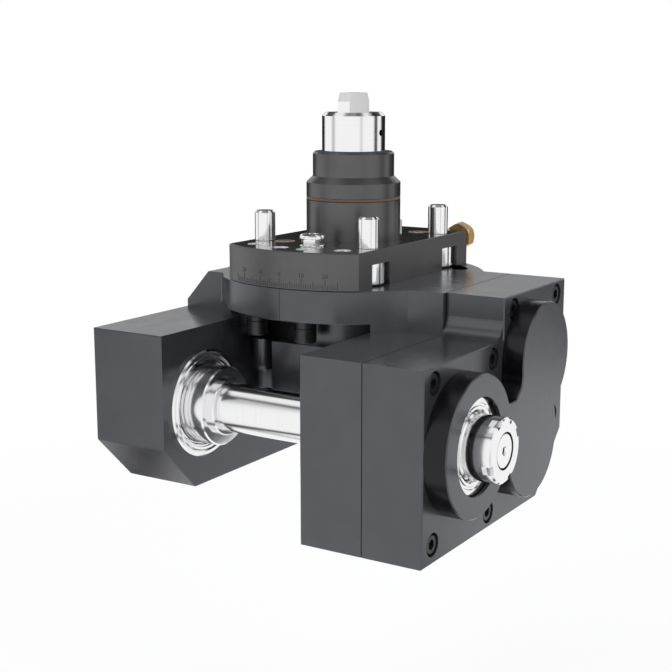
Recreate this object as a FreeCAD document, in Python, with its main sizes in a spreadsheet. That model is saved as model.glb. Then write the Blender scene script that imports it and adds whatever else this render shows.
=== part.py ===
import FreeCAD, Part
import math
import os
import Sketcher

# Gear hobbing head for a driven turret station. Millimetres, +Z up along the shank.
# Origin: shank axis on the flange's clamping face. +X runs to the gear cover, -Y to the front.
# The hob arbor lies along X, in front of and below the shank.

SIZES = {
    # Shank and graduated base flange
    "shank_d": 55.0, "shank_top_d": 47.4, "shank_step_z": 32.3, "shank_bevel": 3.6,
    "shank_high": 50.0, "ring_groove_z": 22.2, "ring_groove_w": 2.0, "ring_groove_deep": 1.7,
    "flange_wide": 85.4, "flange_front_r": 77.5, "clamp_to_back": 5.32, "flange_thick": 20.3,
    "spigot_d": 80.0, "spigot_deep": 6.0, "edge_break": 0.6,
    # Four mounting bolts with heads in side pockets
    "bolt_span_across": 69.0, "bolt_span_along": 82.0, "bolt_d": 11.8, "bolt_head_d": 18.0,
    "bolt_head_high": 12.0, "bolt_long": 25.0, "bolt_waist_d": 10.8, "pocket_wide": 19.2, "pocket_deep": 12.5,
    "thread_sink": 0.9,
    # Coolant parts on the flange
    "port_x": 21.7, "port_y": 39.9, "port_seal_d": 12.6, "port_bore_d": 6.4, "port_deep": 10.0,
    "nipple_x": 3.9, "nipple_inset": 27.3, "nipple_d": 14.5, "nipple_high": 6.8, "nipple_stem_d": 10.0,
    "nipple_flats": 11.5, "nipple_seat_d": 15.4, "nipple_seat_deep": 0.8, "nipple_cap_z": 4.2,
    "pin_x": -1.5, "pin_inset": 4.8, "pin_d": 2.5, "pin_high": 4.5,
    "clamp_to_fitting": 8.1, "fitting_z": -4.2, "fitting_flats": 15.0, "fitting_long": 10.5,
    # Swivel clamp: screws from below through curved slots
    "clamp_r": 65.0, "clamp_screw_d": 8.0, "clamp_head_d": 12.6, "clamp_head_high": 8.0,
    "clamp_washer": 5.0, "clamp_reach": 14.0, "clamp_far": 25.9, "clamp_near": 7.3, "swivel": 25.0,
    "swivel_gap": 0.05, "slot_play": 1.0, "groove_play": 1.2,
    # Drive shaft, bearings and coupling in the shank
    "shaft_d": 20.0, "shaft_low": -42.0, "coupling_d": 36.6, "coupling_low": 42.2, "coupling_high": 72.3,
    "coupling_bevel": 2.0, "coupling_socket": 64.0, "tang_thick": 8.0, "tang_long": 22.0, "tang_high": 11.1,
    "tang_taper": 2.2, "tang_taper_high": 5.0, "cross_hole_d": 3.6, "cross_hole_z": 60.8,
    "drive_bearing_d": 42.0, "upper_bearing_z": 30.0, "upper_bearing_w": 12.0, "lower_bearing_w": 14.0,
    "spacer_d": 27.0, "bore_play": 2.0, "run_fit": 0.03, "side_play": 0.15,
    # Swivel head: disc, wings, hub and bevel case
    "disc_thick": 18.2, "wing_low": -42.5, "wing_front": -47.0, "neck_front": -46.0, "back": 38.5,
    "wing_fillet": 3.0,
    "left_out": -87.6, "left_in": -40.1, "right_in": 47.8, "disc_to_split": 6.5, "cover_thick": 33.8,
    "wing_bevel_across": 16.0, "wing_bevel_down": 18.0, "hub_d": 100.0,
    "case_front": -57.0, "case_top": -55.3, "case_low": -100.0, "case_bore_d": 71.0, "case_floor": -81.0,
    # Blocks of the fork
    "front": -130.2, "left_low": -132.8, "left_bevel": 27.2, "right_low": -140.9, "right_bevel": 33.0,
    "upper_front": -42.7, "upper_fillet": 10.0, "gasket": 0.5, "gasket_inset": 0.6,
    # Hob spindle and arbor
    "spindle_y": -94.0, "spindle_z": -86.0, "arbor_d": 27.0, "arbor_tail_d": 24.0, "sleeve_d": 35.0,
    "sleeve_left": 44.0, "sleeve_past_split": 44.0, "arbor_left": -72.0, "arbor_shoulder": -22.0,
    "nut_d": 33.0, "nut_high": 15.5, "nut_thread_d": 19.0, "nut_slot_w": 5.0, "nut_slot_deep": 2.2,
    "nut_pin_d": 2.0,
    "collar_d": 44.0, "collar_right": -25.0, "collar_hub_d": 32.0,
    "support_bearing_d": 55.0, "support_bearing_w": 14.0, "support_ring_deep": 2.9,
    "support_ring_proud": 2.4, "support_ring_d": 60.0, "support_bore_d": 42.0, "support_cap_d": 60.0, "support_cap_w": 6.0,
    "lock_nut_d": 36.0, "lock_nut_w": 9.0,
    # Gear case and cover boss
    "split_to_gear": 4.0, "gear_face": 16.0, "gear_room": 19.0, "boss_high": 12.4,
    "boss_spindle_r": 36.4, "boss_idler_r": 30.9, "boss_top_r": 30.1, "boss_top_y": -14.3, "boss_top_z": -55.2,
    "boss_round": 4.0, "face_recess_d": 50.0, "face_ring_back": 2.6, "tip_play": 1.6,
    "spindle_bearing_d": 55.0, "bearing_to_split": 4.0, "spindle_bearing_w": 20.0,
    "cover_bearing_w": 16.0, "nose_seal_d": 48.0, "nose_seal_w": 7.0,
    # Gears: one module for the spur train, another for the bevel pair
    "spur_module": 1.5, "pinion_teeth": 20, "idler_teeth": 48, "spindle_teeth": 40,
    "bevel_module": 2.25, "bevel_teeth": 20, "bevel_face": 9.0, "backlash": 0.1,
    "cross_z": -55.9, "cross_shaft_d": 15.0, "cross_bearing_d": 32.0, "cross_bearing_w": 9.0,
    "cross_bearing_left": 40.0, "cross_shoulder_d": 19.0,
    "idler_shaft_d": 17.0, "idler_bearing_d": 35.0, "idler_bearing_w": 10.0,
    # Cover screws, dowels, support screws and the coolant jet
    "cover_screw_d": 6.0, "cover_head_d": 10.0, "cover_head_high": 6.0, "cover_sink_d": 12.2,
    "cover_sink_deep": 6.6, "cover_screw_bite": 12.0,
    "support_screw_d": 8.0, "support_head_d": 13.0, "support_head_high": 8.0, "support_bite": 14.0,
    "cap_screw_d": 4.0, "cap_head_d": 7.0, "cap_head_high": 3.4, "cap_screw_pitch_r": 25.5,
    "jet_x": -30.4, "jet_y": -50.0, "jet_d": 11.6, "jet_low": -75.0, "jet_top": -61.0, "jet_room": 13.0, "jet_bore_d": 4.0,
    "jet_stem_d": 7.0,
    "dowel_d": 6.0, "dowel_bite": 9.5, "cap_screw_bite": 8.0,
}

# Cover screw places on the cover's face: Y, Z
COVER_SCREWS = [(-119.4, -50.5), (-54.5, -50.5), (-30.5, -28.0), (26.5, -28.0),
                (-119.4, -131.0), (-57.0, -132.3), (26.2, -98.0)]
COVER_DOWELS = [(-124.0, -66.0), (12.0, -113.0)]
# Screws that hold the support block under the wing: X, Y
SUPPORT_SCREWS = [(-67.0, -14.0), (-67.0, 22.0), (-51.0, -14.0), (-51.0, 22.0)]
for label, spots in (("cover_screw", COVER_SCREWS), ("cover_dowel", COVER_DOWELS), ("support_screw", SUPPORT_SCREWS)):
    for i, spot in enumerate(spots):
        SIZES[f"{label}{i}_across"], SIZES[f"{label}{i}_along"] = spot

TURNS = {
    "+x": FreeCAD.Rotation(FreeCAD.Vector(0, 1, 0), 90),
    "-x": FreeCAD.Rotation(FreeCAD.Vector(0, 1, 0), -90),
    "+y": FreeCAD.Rotation(FreeCAD.Vector(1, 0, 0), -90),
    "+z": FreeCAD.Rotation(),
    "-z": FreeCAD.Rotation(FreeCAD.Vector(1, 0, 0), 180),
}

doc = FreeCAD.newDocument("hobbing_head")
sheet = doc.addObject("Spreadsheet::Sheet", "Sizes")
for row, (alias, value) in enumerate(SIZES.items(), start=1):
    sheet.set(f"A{row}", alias)
    sheet.set(f"B{row}", str(value))
    sheet.setAlias(f"B{row}", alias)
doc.recompute()


class Dim:
    """A length: the sheet expression that gives it, and its value now."""

    def __init__(self, text, now):
        self.text = text
        self.now = now

    def __add__(self, other):
        other = dim(other)
        return Dim(f"({self.text} + {other.text})", self.now + other.now)

    def __radd__(self, other):
        return dim(other) + self

    def __sub__(self, other):
        other = dim(other)
        return Dim(f"({self.text} - {other.text})", self.now - other.now)

    def __rsub__(self, other):
        return dim(other) - self

    def __mul__(self, other):
        other = dim(other)
        return Dim(f"({self.text} * {other.text})", self.now * other.now)

    def __rmul__(self, other):
        return dim(other) * self

    def __truediv__(self, other):
        other = dim(other)
        return Dim(f"({self.text} / {other.text})", self.now / other.now)

    def __neg__(self):
        return 0 - self


def dim(value):
    """Turns a plain number into a Dim and leaves a Dim as it is."""
    if isinstance(value, Dim):
        return value
    return Dim(f"({value:.9g})", float(value))


def root(value):
    """The square root of a Dim."""
    return Dim(f"sqrt({value.text})", math.sqrt(value.now))


class Sheet:
    """Reads a size from the sheet by its alias."""

    def __getattr__(self, alias):
        return Dim(f"Sizes.{alias}", float(getattr(sheet, alias)))


size = Sheet()
nodes = []


def spots_of(label, spots):
    """The places of a group of screws or dowels, as the sheet has them."""
    return [(getattr(size, f"{label}{i}_across"), getattr(size, f"{label}{i}_along")) for i in range(len(spots))]


cover_screw_spots = spots_of("cover_screw", COVER_SCREWS)
cover_dowel_spots = spots_of("cover_dowel", COVER_DOWELS)
support_screw_spots = spots_of("support_screw", SUPPORT_SCREWS)


def bind(item, prop, value):
    """Ties one property of an object to the sheet."""
    item.setExpression(prop, dim(value).text)


def seat(item, corner, way="+z"):
    """Puts an object's own origin at a point, with its Z axis turned to a direction."""
    item.Placement = FreeCAD.Placement(FreeCAD.Vector(), TURNS[way])
    for letter, value in zip("xyz", corner):
        bind(item, f"Placement.Base.{letter}", value)
    return item


def box(name, xs, ys, zs):
    """A block between two values on each axis."""
    item = doc.addObject("Part::Box", name)
    for prop, (low, high) in zip(("Length", "Width", "Height"), (xs, ys, zs)):
        bind(item, prop, dim(high) - low)
    return seat(item, (xs[0], ys[0], zs[0]))


def rod(name, way, centre, radius, span):
    """A cylinder along x, y or z. centre gives the two other coordinates in order."""
    item = doc.addObject("Part::Cylinder", name)
    bind(item, "Radius", radius)
    bind(item, "Height", dim(span[1]) - span[0])
    place = list(centre)
    place.insert("xyz".index(way), span[0])
    return seat(item, place, "+" + way)


def sector(name, radii, zs, angles):
    """A piece of a ring about the swivel axis, between two angles in degrees."""
    outer = rod(name + "_outer", "z", (0, 0), radii[1], zs)
    bind(outer, "Angle", dim(angles[1]) - angles[0])
    spin = FreeCAD.Rotation(FreeCAD.Vector(0, 0, 1), dim(angles[0]).now)
    outer.Placement = FreeCAD.Placement(FreeCAD.Vector(0, 0, dim(zs[0]).now), spin)
    bind(outer, "Placement.Rotation.Angle", angles[0])
    inner = rod(name + "_inner", "z", (0, 0), radii[0], zs)
    return cut(name, outer, [inner])


def fuse(name, parts):
    """Joins solids into one."""
    item = doc.addObject("Part::MultiFuse", name)
    item.Shapes = parts
    item.Refine = True
    return item


def cut(name, base, tools):
    """Takes tools out of a solid."""
    item = doc.addObject("Part::Cut", name)
    item.Base = base
    item.Tool = tools[0] if len(tools) == 1 else fuse(name + "_tools", tools)
    item.Refine = True
    return item


def common(name, first, second):
    """The space that two solids share."""
    item = doc.addObject("Part::Common", name)
    item.Base = first
    item.Tool = second
    return item


def outline(sketch, corners):
    """Draws a closed polygon whose corners are each held by two distances from the origin."""
    count = len(corners)
    spots = [FreeCAD.Vector(dim(u).now, dim(v).now, 0) for u, v in corners]
    lines = [Part.LineSegment(spots[i], spots[(i + 1) % count]) for i in range(count)]
    sketch.addGeometry(lines, False)
    joins = [Sketcher.Constraint("Coincident", i, 2, (i + 1) % count, 1) for i in range(count)]
    sketch.addConstraint(joins)
    for i, corner in enumerate(corners):
        for kind, value in zip(("DistanceX", "DistanceY"), corner):
            index = sketch.addConstraint(Sketcher.Constraint(kind, i, 1, dim(value).now))
            bind(sketch, f"Constraints[{index}]", value)


def prism(name, way, corners, span):
    """A polygon drawn across x or y and drawn out along it."""
    sketch = doc.addObject("Sketcher::SketchObject", name + "_sketch")
    if way == "x":
        turn = FreeCAD.Rotation(0.5, 0.5, 0.5, 0.5)
        direction = FreeCAD.Vector(1, 0, 0)
    else:
        turn = FreeCAD.Rotation(FreeCAD.Vector(1, 0, 0), 90)
        direction = FreeCAD.Vector(0, 1, 0)
    sketch.Placement = FreeCAD.Placement(FreeCAD.Vector(), turn)
    bind(sketch, f"Placement.Base.{way}", span[0])
    outline(sketch, corners)
    item = doc.addObject("Part::Extrusion", name)
    item.Base = sketch
    item.DirMode = "Custom"
    item.Dir = direction
    item.Solid = True
    bind(item, "LengthFwd", dim(span[1]) - span[0])
    return item


def bevelled(name, base, width, pick):
    """Breaks the edges of a solid that pick chooses."""
    doc.recompute()
    item = doc.addObject("Part::Chamfer", name)
    item.Base = base
    chosen = [i for i, edge in enumerate(base.Shape.Edges, start=1) if pick(edge)]
    item.Edges = [(i, width.now, width.now) for i in chosen]
    return item


def sketch_on(body, role, name):
    """A sketch on one of the body's own origin planes."""
    sketch = body.newObject("Sketcher::SketchObject", name)
    plane = [item for item in body.Origin.OriginFeatures if item.Role == role][0]
    sketch.AttachmentSupport = (plane, [""])
    sketch.MapMode = "FlatFace"
    return sketch


def turned(name, profile, way="+z", place=(0, 0, 0)):
    """A turned piece. profile lists (radius, distance along its axis)."""
    body = doc.addObject("PartDesign::Body", name)
    sketch = sketch_on(body, "XZ_Plane", name + "_profile")
    outline(sketch, profile)
    turn = body.newObject("PartDesign::Revolution", name + "_turn")
    turn.Profile = sketch
    turn.ReferenceAxis = (sketch, ["V_Axis"])
    turn.Angle = 360
    body.Tip = turn
    return seat(body, place, way)


def hexagon(flats, turn=0):
    """The corners of a hexagon of this width across flats."""
    reach = dim(flats) / math.sqrt(3)
    angles = [math.radians(60 * k + turn) for k in range(6)]
    return [(reach * math.cos(a), reach * math.sin(a)) for a in angles]


def screw(name, thread_d, head_d, head_high, long, place, way, socket=None):
    """A socket head screw with its head's top at its own origin and its thread below."""
    break_in = dim(head_d) * 0.05
    tip = dim(thread_d) * 0.1
    neck = -dim(head_high)
    end = neck - long
    body = turned(name, [(0, 0), (head_d / 2 - break_in, 0), (head_d / 2, -break_in), (head_d / 2, neck),
                         (thread_d / 2, neck), (thread_d / 2, end + tip), (thread_d / 2 - tip, end), (0, end)],
                  way, place)
    drive = sketch_on(body, "XY_Plane", name + "_socket")
    outline(drive, hexagon(socket or head_d * 0.5))
    pocket = body.newObject("PartDesign::Pocket", name + "_drive")
    pocket.Profile = drive
    bind(pocket, "Length", head_high * 0.55)
    body.Tip = pocket
    return body


def ring(name, inner, outer, way, centre, span, lip=0.4):
    """A plain ring with its edges broken by lip. centre and span as for a rod."""
    place = list(centre)
    place.insert("xyz".index(way), span[0])
    wide = dim(span[1]) - span[0]
    profile = [(inner, 0), (outer - lip, 0), (outer, lip), (outer, wide - lip), (outer - lip, wide), (inner, wide)]
    return turned(name, profile, "+" + way, place)


def bearing(name, inner_d, outer_d, way, centre, span):
    """A sealed ball bearing as one solid, with the shallow seal groove on each side."""
    inner = inner_d / 2 + size.run_fit
    outer = outer_d / 2
    rim = (outer - inner) * 0.22
    sunk = 0.5
    wide = dim(span[1]) - span[0]
    place = list(centre)
    place.insert("xyz".index(way), span[0])
    profile = [(inner, 0), (inner + rim, 0), (inner + rim, sunk), (outer - rim, sunk), (outer - rim, 0), (outer, 0),
               (outer, wide), (outer - rim, wide), (outer - rim, wide - sunk), (inner + rim, wide - sunk),
               (inner + rim, wide), (inner, wide)]
    return turned(name, profile, "+" + way, place)


def group(name, parts):
    """Separate solids that share one node."""
    item = doc.addObject("Part::Compound", name)
    item.Links = parts
    return item


def made(name, shape, place=(0, 0, 0), way="+z"):
    """A shape made by its own formula."""
    item = doc.addObject("Part::Feature", name)
    item.Shape = shape
    item.Placement = FreeCAD.Placement(FreeCAD.Vector(*place), TURNS[way])
    return item


def node(label, item):
    """Names a finished sub-part."""
    item.Label = label
    nodes.append(item)


def clamp_spot(angle):
    """The X and Y of a clamp screw at this angle about the shank."""
    turn = dim(angle)
    return (size.clamp_r * Dim(f"cos({turn.text} * 1 deg)", math.cos(math.radians(turn.now))),
            size.clamp_r * Dim(f"sin({turn.text} * 1 deg)", math.sin(math.radians(turn.now))))


# Places that several parts share
shank_r = size.shank_d / 2
split_x = size.flange_front_r + size.disc_to_split
right_out = split_x + size.cover_thick
gear_left = split_x + size.split_to_gear
case_right = gear_left + size.gear_room
sleeve_right = split_x + size.sleeve_past_split
nut_right = sleeve_right + size.nut_high
spindle_bearing_left = split_x - size.bearing_to_split - size.spindle_bearing_w
nipple_y = size.nipple_inset - size.flange_front_r
disc_top = -size.flange_thick - size.swivel_gap
disc_low = disc_top - size.disc_thick
spigot_low = -size.flange_thick - size.spigot_deep
lower_bearing_top = spigot_low + 1 + size.lower_bearing_w
clamp_front = (-90 - size.clamp_far, -90 + size.clamp_near)
clamp_back = (90 - size.clamp_far, 90 + size.clamp_far)
clamp_angles = clamp_front + clamp_back
back_clamp_x, back_clamp_y = clamp_spot(clamp_back[0])
flange_back = back_clamp_y + size.clamp_to_back
fitting_x = back_clamp_x + size.clamp_to_fitting
pin_y = flange_back - size.pin_inset
clamp_seat = disc_low - size.swivel_gap
clamp_head_low = clamp_seat - size.clamp_washer - size.clamp_head_high
gasket_left = split_x - size.gasket / 2
gasket_right = split_x + size.gasket / 2
boss_face = right_out + size.boss_high
support_ring_left = size.left_in - size.support_ring_deep
support_bearing_left = support_ring_left - size.support_bearing_w
spindle_at = (size.spindle_y, size.spindle_z)
cross_at = (0, size.cross_z)
bolt_spots = [(sx * size.bolt_span_across / 2, sy * size.bolt_span_along / 2, sx) for sx in (-1, 1) for sy in (-1, 1)]

# The idler turns where both centre distances meet, below the line from cross shaft to spindle
pinion_to_idler = size.spur_module * (size.pinion_teeth + size.idler_teeth) / 2
idler_to_spindle = size.spur_module * (size.idler_teeth + size.spindle_teeth) / 2
reach_y = size.spindle_y
reach_z = size.spindle_z - size.cross_z
reach = root(reach_y * reach_y + reach_z * reach_z)
along = (pinion_to_idler * pinion_to_idler - idler_to_spindle * idler_to_spindle + reach * reach) / (2 * reach)
aside = root(pinion_to_idler * pinion_to_idler - along * along)
idler_y = (along * reach_y - aside * reach_z) / reach
idler_z = size.cross_z + (along * reach_z + aside * reach_y) / reach
idler_at = (idler_y, idler_z)


def make_base():
    """The shank and graduated flange in one forging, with its bores and pockets."""
    half = size.flange_wide / 2
    slab = common("flange_slab",
                  box("flange_box", (-half, half), (-size.flange_front_r - 1, flange_back), (-size.flange_thick, 0)),
                  rod("flange_disc", "z", (0, 0), size.flange_front_r, (-size.flange_thick, 0)))
    slab = bevelled("flange_edges", slab, size.edge_break, lambda edge: abs(edge.CenterOfMass.z) < 0.01)
    top_r = size.shank_top_d / 2
    groove_top = size.ring_groove_z + size.ring_groove_w
    step_top = size.shank_step_z + size.shank_bevel
    shank = turned("shank", [
        (0, -1), (shank_r, -1), (shank_r, size.ring_groove_z), (shank_r - size.ring_groove_deep, size.ring_groove_z),
        (shank_r - size.ring_groove_deep, groove_top), (shank_r, groove_top), (shank_r, size.shank_step_z),
        (top_r, step_top), (top_r, size.shank_high - 1.2), (top_r - 1.2, size.shank_high), (0, size.shank_high)])
    spigot = rod("spigot", "z", (0, 0), size.spigot_d / 2, (spigot_low, -size.flange_thick + 1))
    blank = fuse("base_blank", [slab, shank, spigot])
    seat_r = size.drive_bearing_d / 2
    tools = [
        rod("upper_seat", "z", (0, 0), seat_r, (size.upper_bearing_z, size.shank_high + 1)),
        rod("shaft_bore", "z", (0, 0), size.spacer_d / 2 + size.bore_play,
            (lower_bearing_top - 1, size.upper_bearing_z + 1)),
        rod("lower_seat", "z", (0, 0), seat_r, (spigot_low - 1, lower_bearing_top)),
        rod("nipple_hole", "z", (size.nipple_x, nipple_y), size.nipple_stem_d / 2, (-9, 1)),
        rod("nipple_seat", "z", (size.nipple_x, nipple_y), size.nipple_seat_d / 2, (-size.nipple_seat_deep, 1)),
        rod("pin_hole", "z", (size.pin_x, pin_y), size.pin_d / 2, (-8, 1)),
        rod("fitting_hole", "y", (fitting_x, size.fitting_z), 2.6, (flange_back - 12, flange_back + 1)),
    ]
    for i, (x, y, side) in enumerate(bolt_spots):
        tools.append(rod(f"bolt_hole{i}", "z", (x, y), size.bolt_d / 2 + 0.15, (-size.flange_thick, 1)))
        top = -size.flange_thick + size.pocket_deep
        low = -size.flange_thick - 1
        tools.append(rod(f"pocket_end{i}", "z", (x, y), size.pocket_wide / 2, (low, top)))
        xs = (x, half + 1) if side > 0 else (-half - 1, x)
        tools.append(box(f"pocket_way{i}", xs, (y - size.pocket_wide / 2, y + size.pocket_wide / 2), (low, top)))
    for i, side in enumerate((-1, 1)):
        spot = (side * size.port_x, side * size.port_y)
        tools.append(rod(f"port_sink{i}", "z", spot, size.port_seal_d / 2, (-1.4, 1)))
        tools.append(rod(f"port_bore{i}", "z", spot, size.port_bore_d / 2, (-size.port_deep, 1)))
    for i, angle in enumerate(clamp_angles + (-90 - size.clamp_near, -90 + size.clamp_far)):
        x, y = clamp_spot(angle)
        tools.append(rod(f"clamp_thread{i}", "z", (x, y), size.clamp_screw_d / 2, (-size.flange_thick - 1, 1)))
        mouth = size.clamp_screw_d / 2
        sink = size.thread_sink
        tools.append(turned(f"clamp_sink{i}", [(0, -sink - 1), (mouth, -sink), (mouth + sink, 0),
                                               (mouth + sink, 1), (0, 1)], "+z", (x, y, 0)))
    node("shank_flange", cut("shank_flange_cut", blank, tools))


def make_base_fittings():
    """Seals, bolts, coolant parts and clamp screws that stay with the base."""
    groove_r = shank_r - size.ring_groove_deep
    half_w = size.ring_groove_w / 2
    crown = 0.35
    ring_low = size.ring_groove_z + half_w - 0.92
    node("shank_ring", turned("shank_ring_body", [
        (groove_r, ring_low), (shank_r - crown, ring_low), (shank_r, ring_low + 0.45),
        (shank_r, ring_low + 1.39), (shank_r - crown, ring_low + 1.84), (groove_r, ring_low + 1.84)]))
    seal_r = size.coupling_d / 2 + size.run_fit
    node("shaft_seal", turned("shaft_seal_body", [
        (seal_r, size.shank_high - 5), (size.drive_bearing_d / 2, size.shank_high - 5),
        (size.drive_bearing_d / 2, size.shank_high), (seal_r + 0.9, size.shank_high + 0.4),
        (seal_r, size.shank_high + 0.4)]))
    head_top = -size.flange_thick + size.pocket_deep
    bolts = []
    for i, (x, y, side) in enumerate(bolt_spots):
        bolt = screw(f"bolt{i}", size.bolt_d, size.bolt_head_d, size.bolt_head_high, size.bolt_long,
                     (x, y, head_top - size.bolt_head_high), "-z")
        waist = turned(f"bolt_waist{i}", [
            (size.bolt_waist_d / 2, head_top), (size.bolt_d / 2 + 1, head_top), (size.bolt_d / 2 + 1, 0.15),
            (size.bolt_d / 2, 0.15), (size.bolt_waist_d / 2, -0.35)], "+z", (x, y, 0))
        bolts.append(cut(f"bolt_whole{i}", bolt, [waist]))
    node("mounting_bolts", group("bolt_group", bolts))
    make_nipple()
    rings = []
    plugs = []
    for i, side in enumerate((-1, 1)):
        spot = (side * size.port_x, side * size.port_y)
        rings.append(ring(f"port_ring{i}", size.port_bore_d / 2 + 0.6, size.port_seal_d / 2, "z", spot, (-1.4, 0.2)))
        plugs.append(ring(f"port_plug{i}", 1.4, size.port_bore_d / 2, "z", spot, (-size.port_deep, 0.1), 0.3))
    node("port_seals", group("port_ring_group", rings))
    node("port_plugs", group("port_plug_group", plugs))
    node("index_pin", ring("index_pin_body", 0, size.pin_d / 2, "z", (size.pin_x, pin_y), (-8, size.pin_high), 0.3))
    make_fitting()
    washers = []
    screws = []
    for i, angle in enumerate(clamp_angles):
        x, y = clamp_spot(angle)
        washers.append(ring(f"clamp_washer{i}", size.clamp_screw_d / 2, size.clamp_head_d / 2, "z", (x, y),
                            (clamp_seat - size.clamp_washer, clamp_seat)))
        screws.append(screw(f"clamp_screw{i}", size.clamp_screw_d, size.clamp_head_d, size.clamp_head_high,
                            size.clamp_washer + size.disc_thick + size.clamp_reach, (x, y, clamp_head_low), "-z"))
    node("clamp_washers", group("washer_group", washers))
    node("clamp_screws", group("clamp_group", screws))
    bearings = [
        bearing("upper_bearing", size.shaft_d, size.drive_bearing_d, "z", (0, 0),
                (size.upper_bearing_z, size.upper_bearing_z + size.upper_bearing_w)),
        bearing("lower_bearing", size.shaft_d, size.drive_bearing_d, "z", (0, 0),
                (lower_bearing_top - size.lower_bearing_w, lower_bearing_top))]
    node("drive_bearings", group("drive_bearing_group", bearings))


def make_nipple():
    """The coolant nipple: a flanged stem, six flats and a rounded cap."""
    stem = size.nipple_stem_d / 2
    cap = size.nipple_d / 2
    low = -size.nipple_seat_deep
    cap_z = size.nipple_cap_z
    top = size.nipple_high
    body = turned("nipple_body", [
        (0, -8), (stem, -8), (stem, low), (cap - 0.2, low), (cap - 0.2, 0.5), (cap - 1.0, 0.9), (stem - 0.4, 0.9),
        (stem - 0.4, cap_z), (cap - 0.4, cap_z), (cap, cap_z + 0.4), (cap, top - 1.2), (cap - 0.35, top - 0.5),
        (cap - 1.3, top), (3.4, top), (2.9, top - 0.5), (2.9, top - 5), (0, top - 5)],
        "+z", (size.nipple_x, nipple_y, 0))
    sketch = sketch_on(body, "XY_Plane", "nipple_hex")
    outline(sketch, hexagon(size.nipple_flats, 15))
    pad = body.newObject("PartDesign::Pad", "nipple_pad")
    pad.Profile = sketch
    bind(pad, "Length", cap_z + 0.2)
    hole = sketch_on(body, "XY_Plane", "nipple_bore_mark")
    outline(hole, hexagon(3.0, 15))
    bore = body.newObject("PartDesign::Pocket", "nipple_bore")
    bore.Profile = hole
    bore.Reversed = True
    bind(bore, "Length", cap_z)
    body.Tip = bore
    node("coolant_nipple", body)


def make_fitting():
    """The brass coolant fitting screwed into the flange's back edge."""
    body = doc.addObject("PartDesign::Body", "fitting")
    sketch = sketch_on(body, "XY_Plane", "fitting_hex")
    outline(sketch, hexagon(size.fitting_flats, 30))
    pad = body.newObject("PartDesign::Pad", "fitting_pad")
    pad.Profile = sketch
    bind(pad, "Length", size.fitting_long)
    body.Tip = pad
    seat(body, (fitting_x, flange_back, size.fitting_z), "+y")
    reach = size.fitting_flats * 0.5
    shell = turned("fitting_shell", [
        (0, 0), (reach + 0.2, 0), (reach + 1.2, 0.9), (reach + 1.2, size.fitting_long - 4.5),
        (reach - 0.6, size.fitting_long - 1.4), (reach * 0.55, size.fitting_long), (0, size.fitting_long)],
        "+y", (fitting_x, flange_back, size.fitting_z))
    stem = rod("fitting_stem", "y", (fitting_x, size.fitting_z), 2.6, (flange_back - 10, flange_back + 1))
    node("coolant_fitting", fuse("fitting_whole", [common("fitting_head", body, shell), stem]))


def housing_outline():
    """The gear case seen along X, with its stepped top and bevelled lower back corner."""
    return [(size.front, size.right_low), (size.back - size.right_bevel, size.right_low),
            (size.back, size.right_low + size.right_bevel), (size.back, disc_top),
            (size.neck_front, disc_top), (size.neck_front, size.wing_low), (size.front, size.wing_low)]


def clamp_ways(name, radii, zs, play):
    """The ring pieces that the clamp screws sweep, front and back, in the head's frame."""
    ways = []
    for label, (first, last) in (("front", clamp_front), ("back", clamp_back)):
        ways.append(sector(f"{name}_{label}", radii, zs, (first - size.swivel - play, last + size.swivel + play)))
    return ways


def screw_groove(name):
    """The ring recess under the disc where the clamp screw heads travel."""
    half = size.clamp_head_d / 2 + size.groove_play
    return clamp_ways(name, (size.clamp_r - half, size.clamp_r + half), (clamp_head_low - size.groove_play, disc_low), 7.5)


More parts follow.
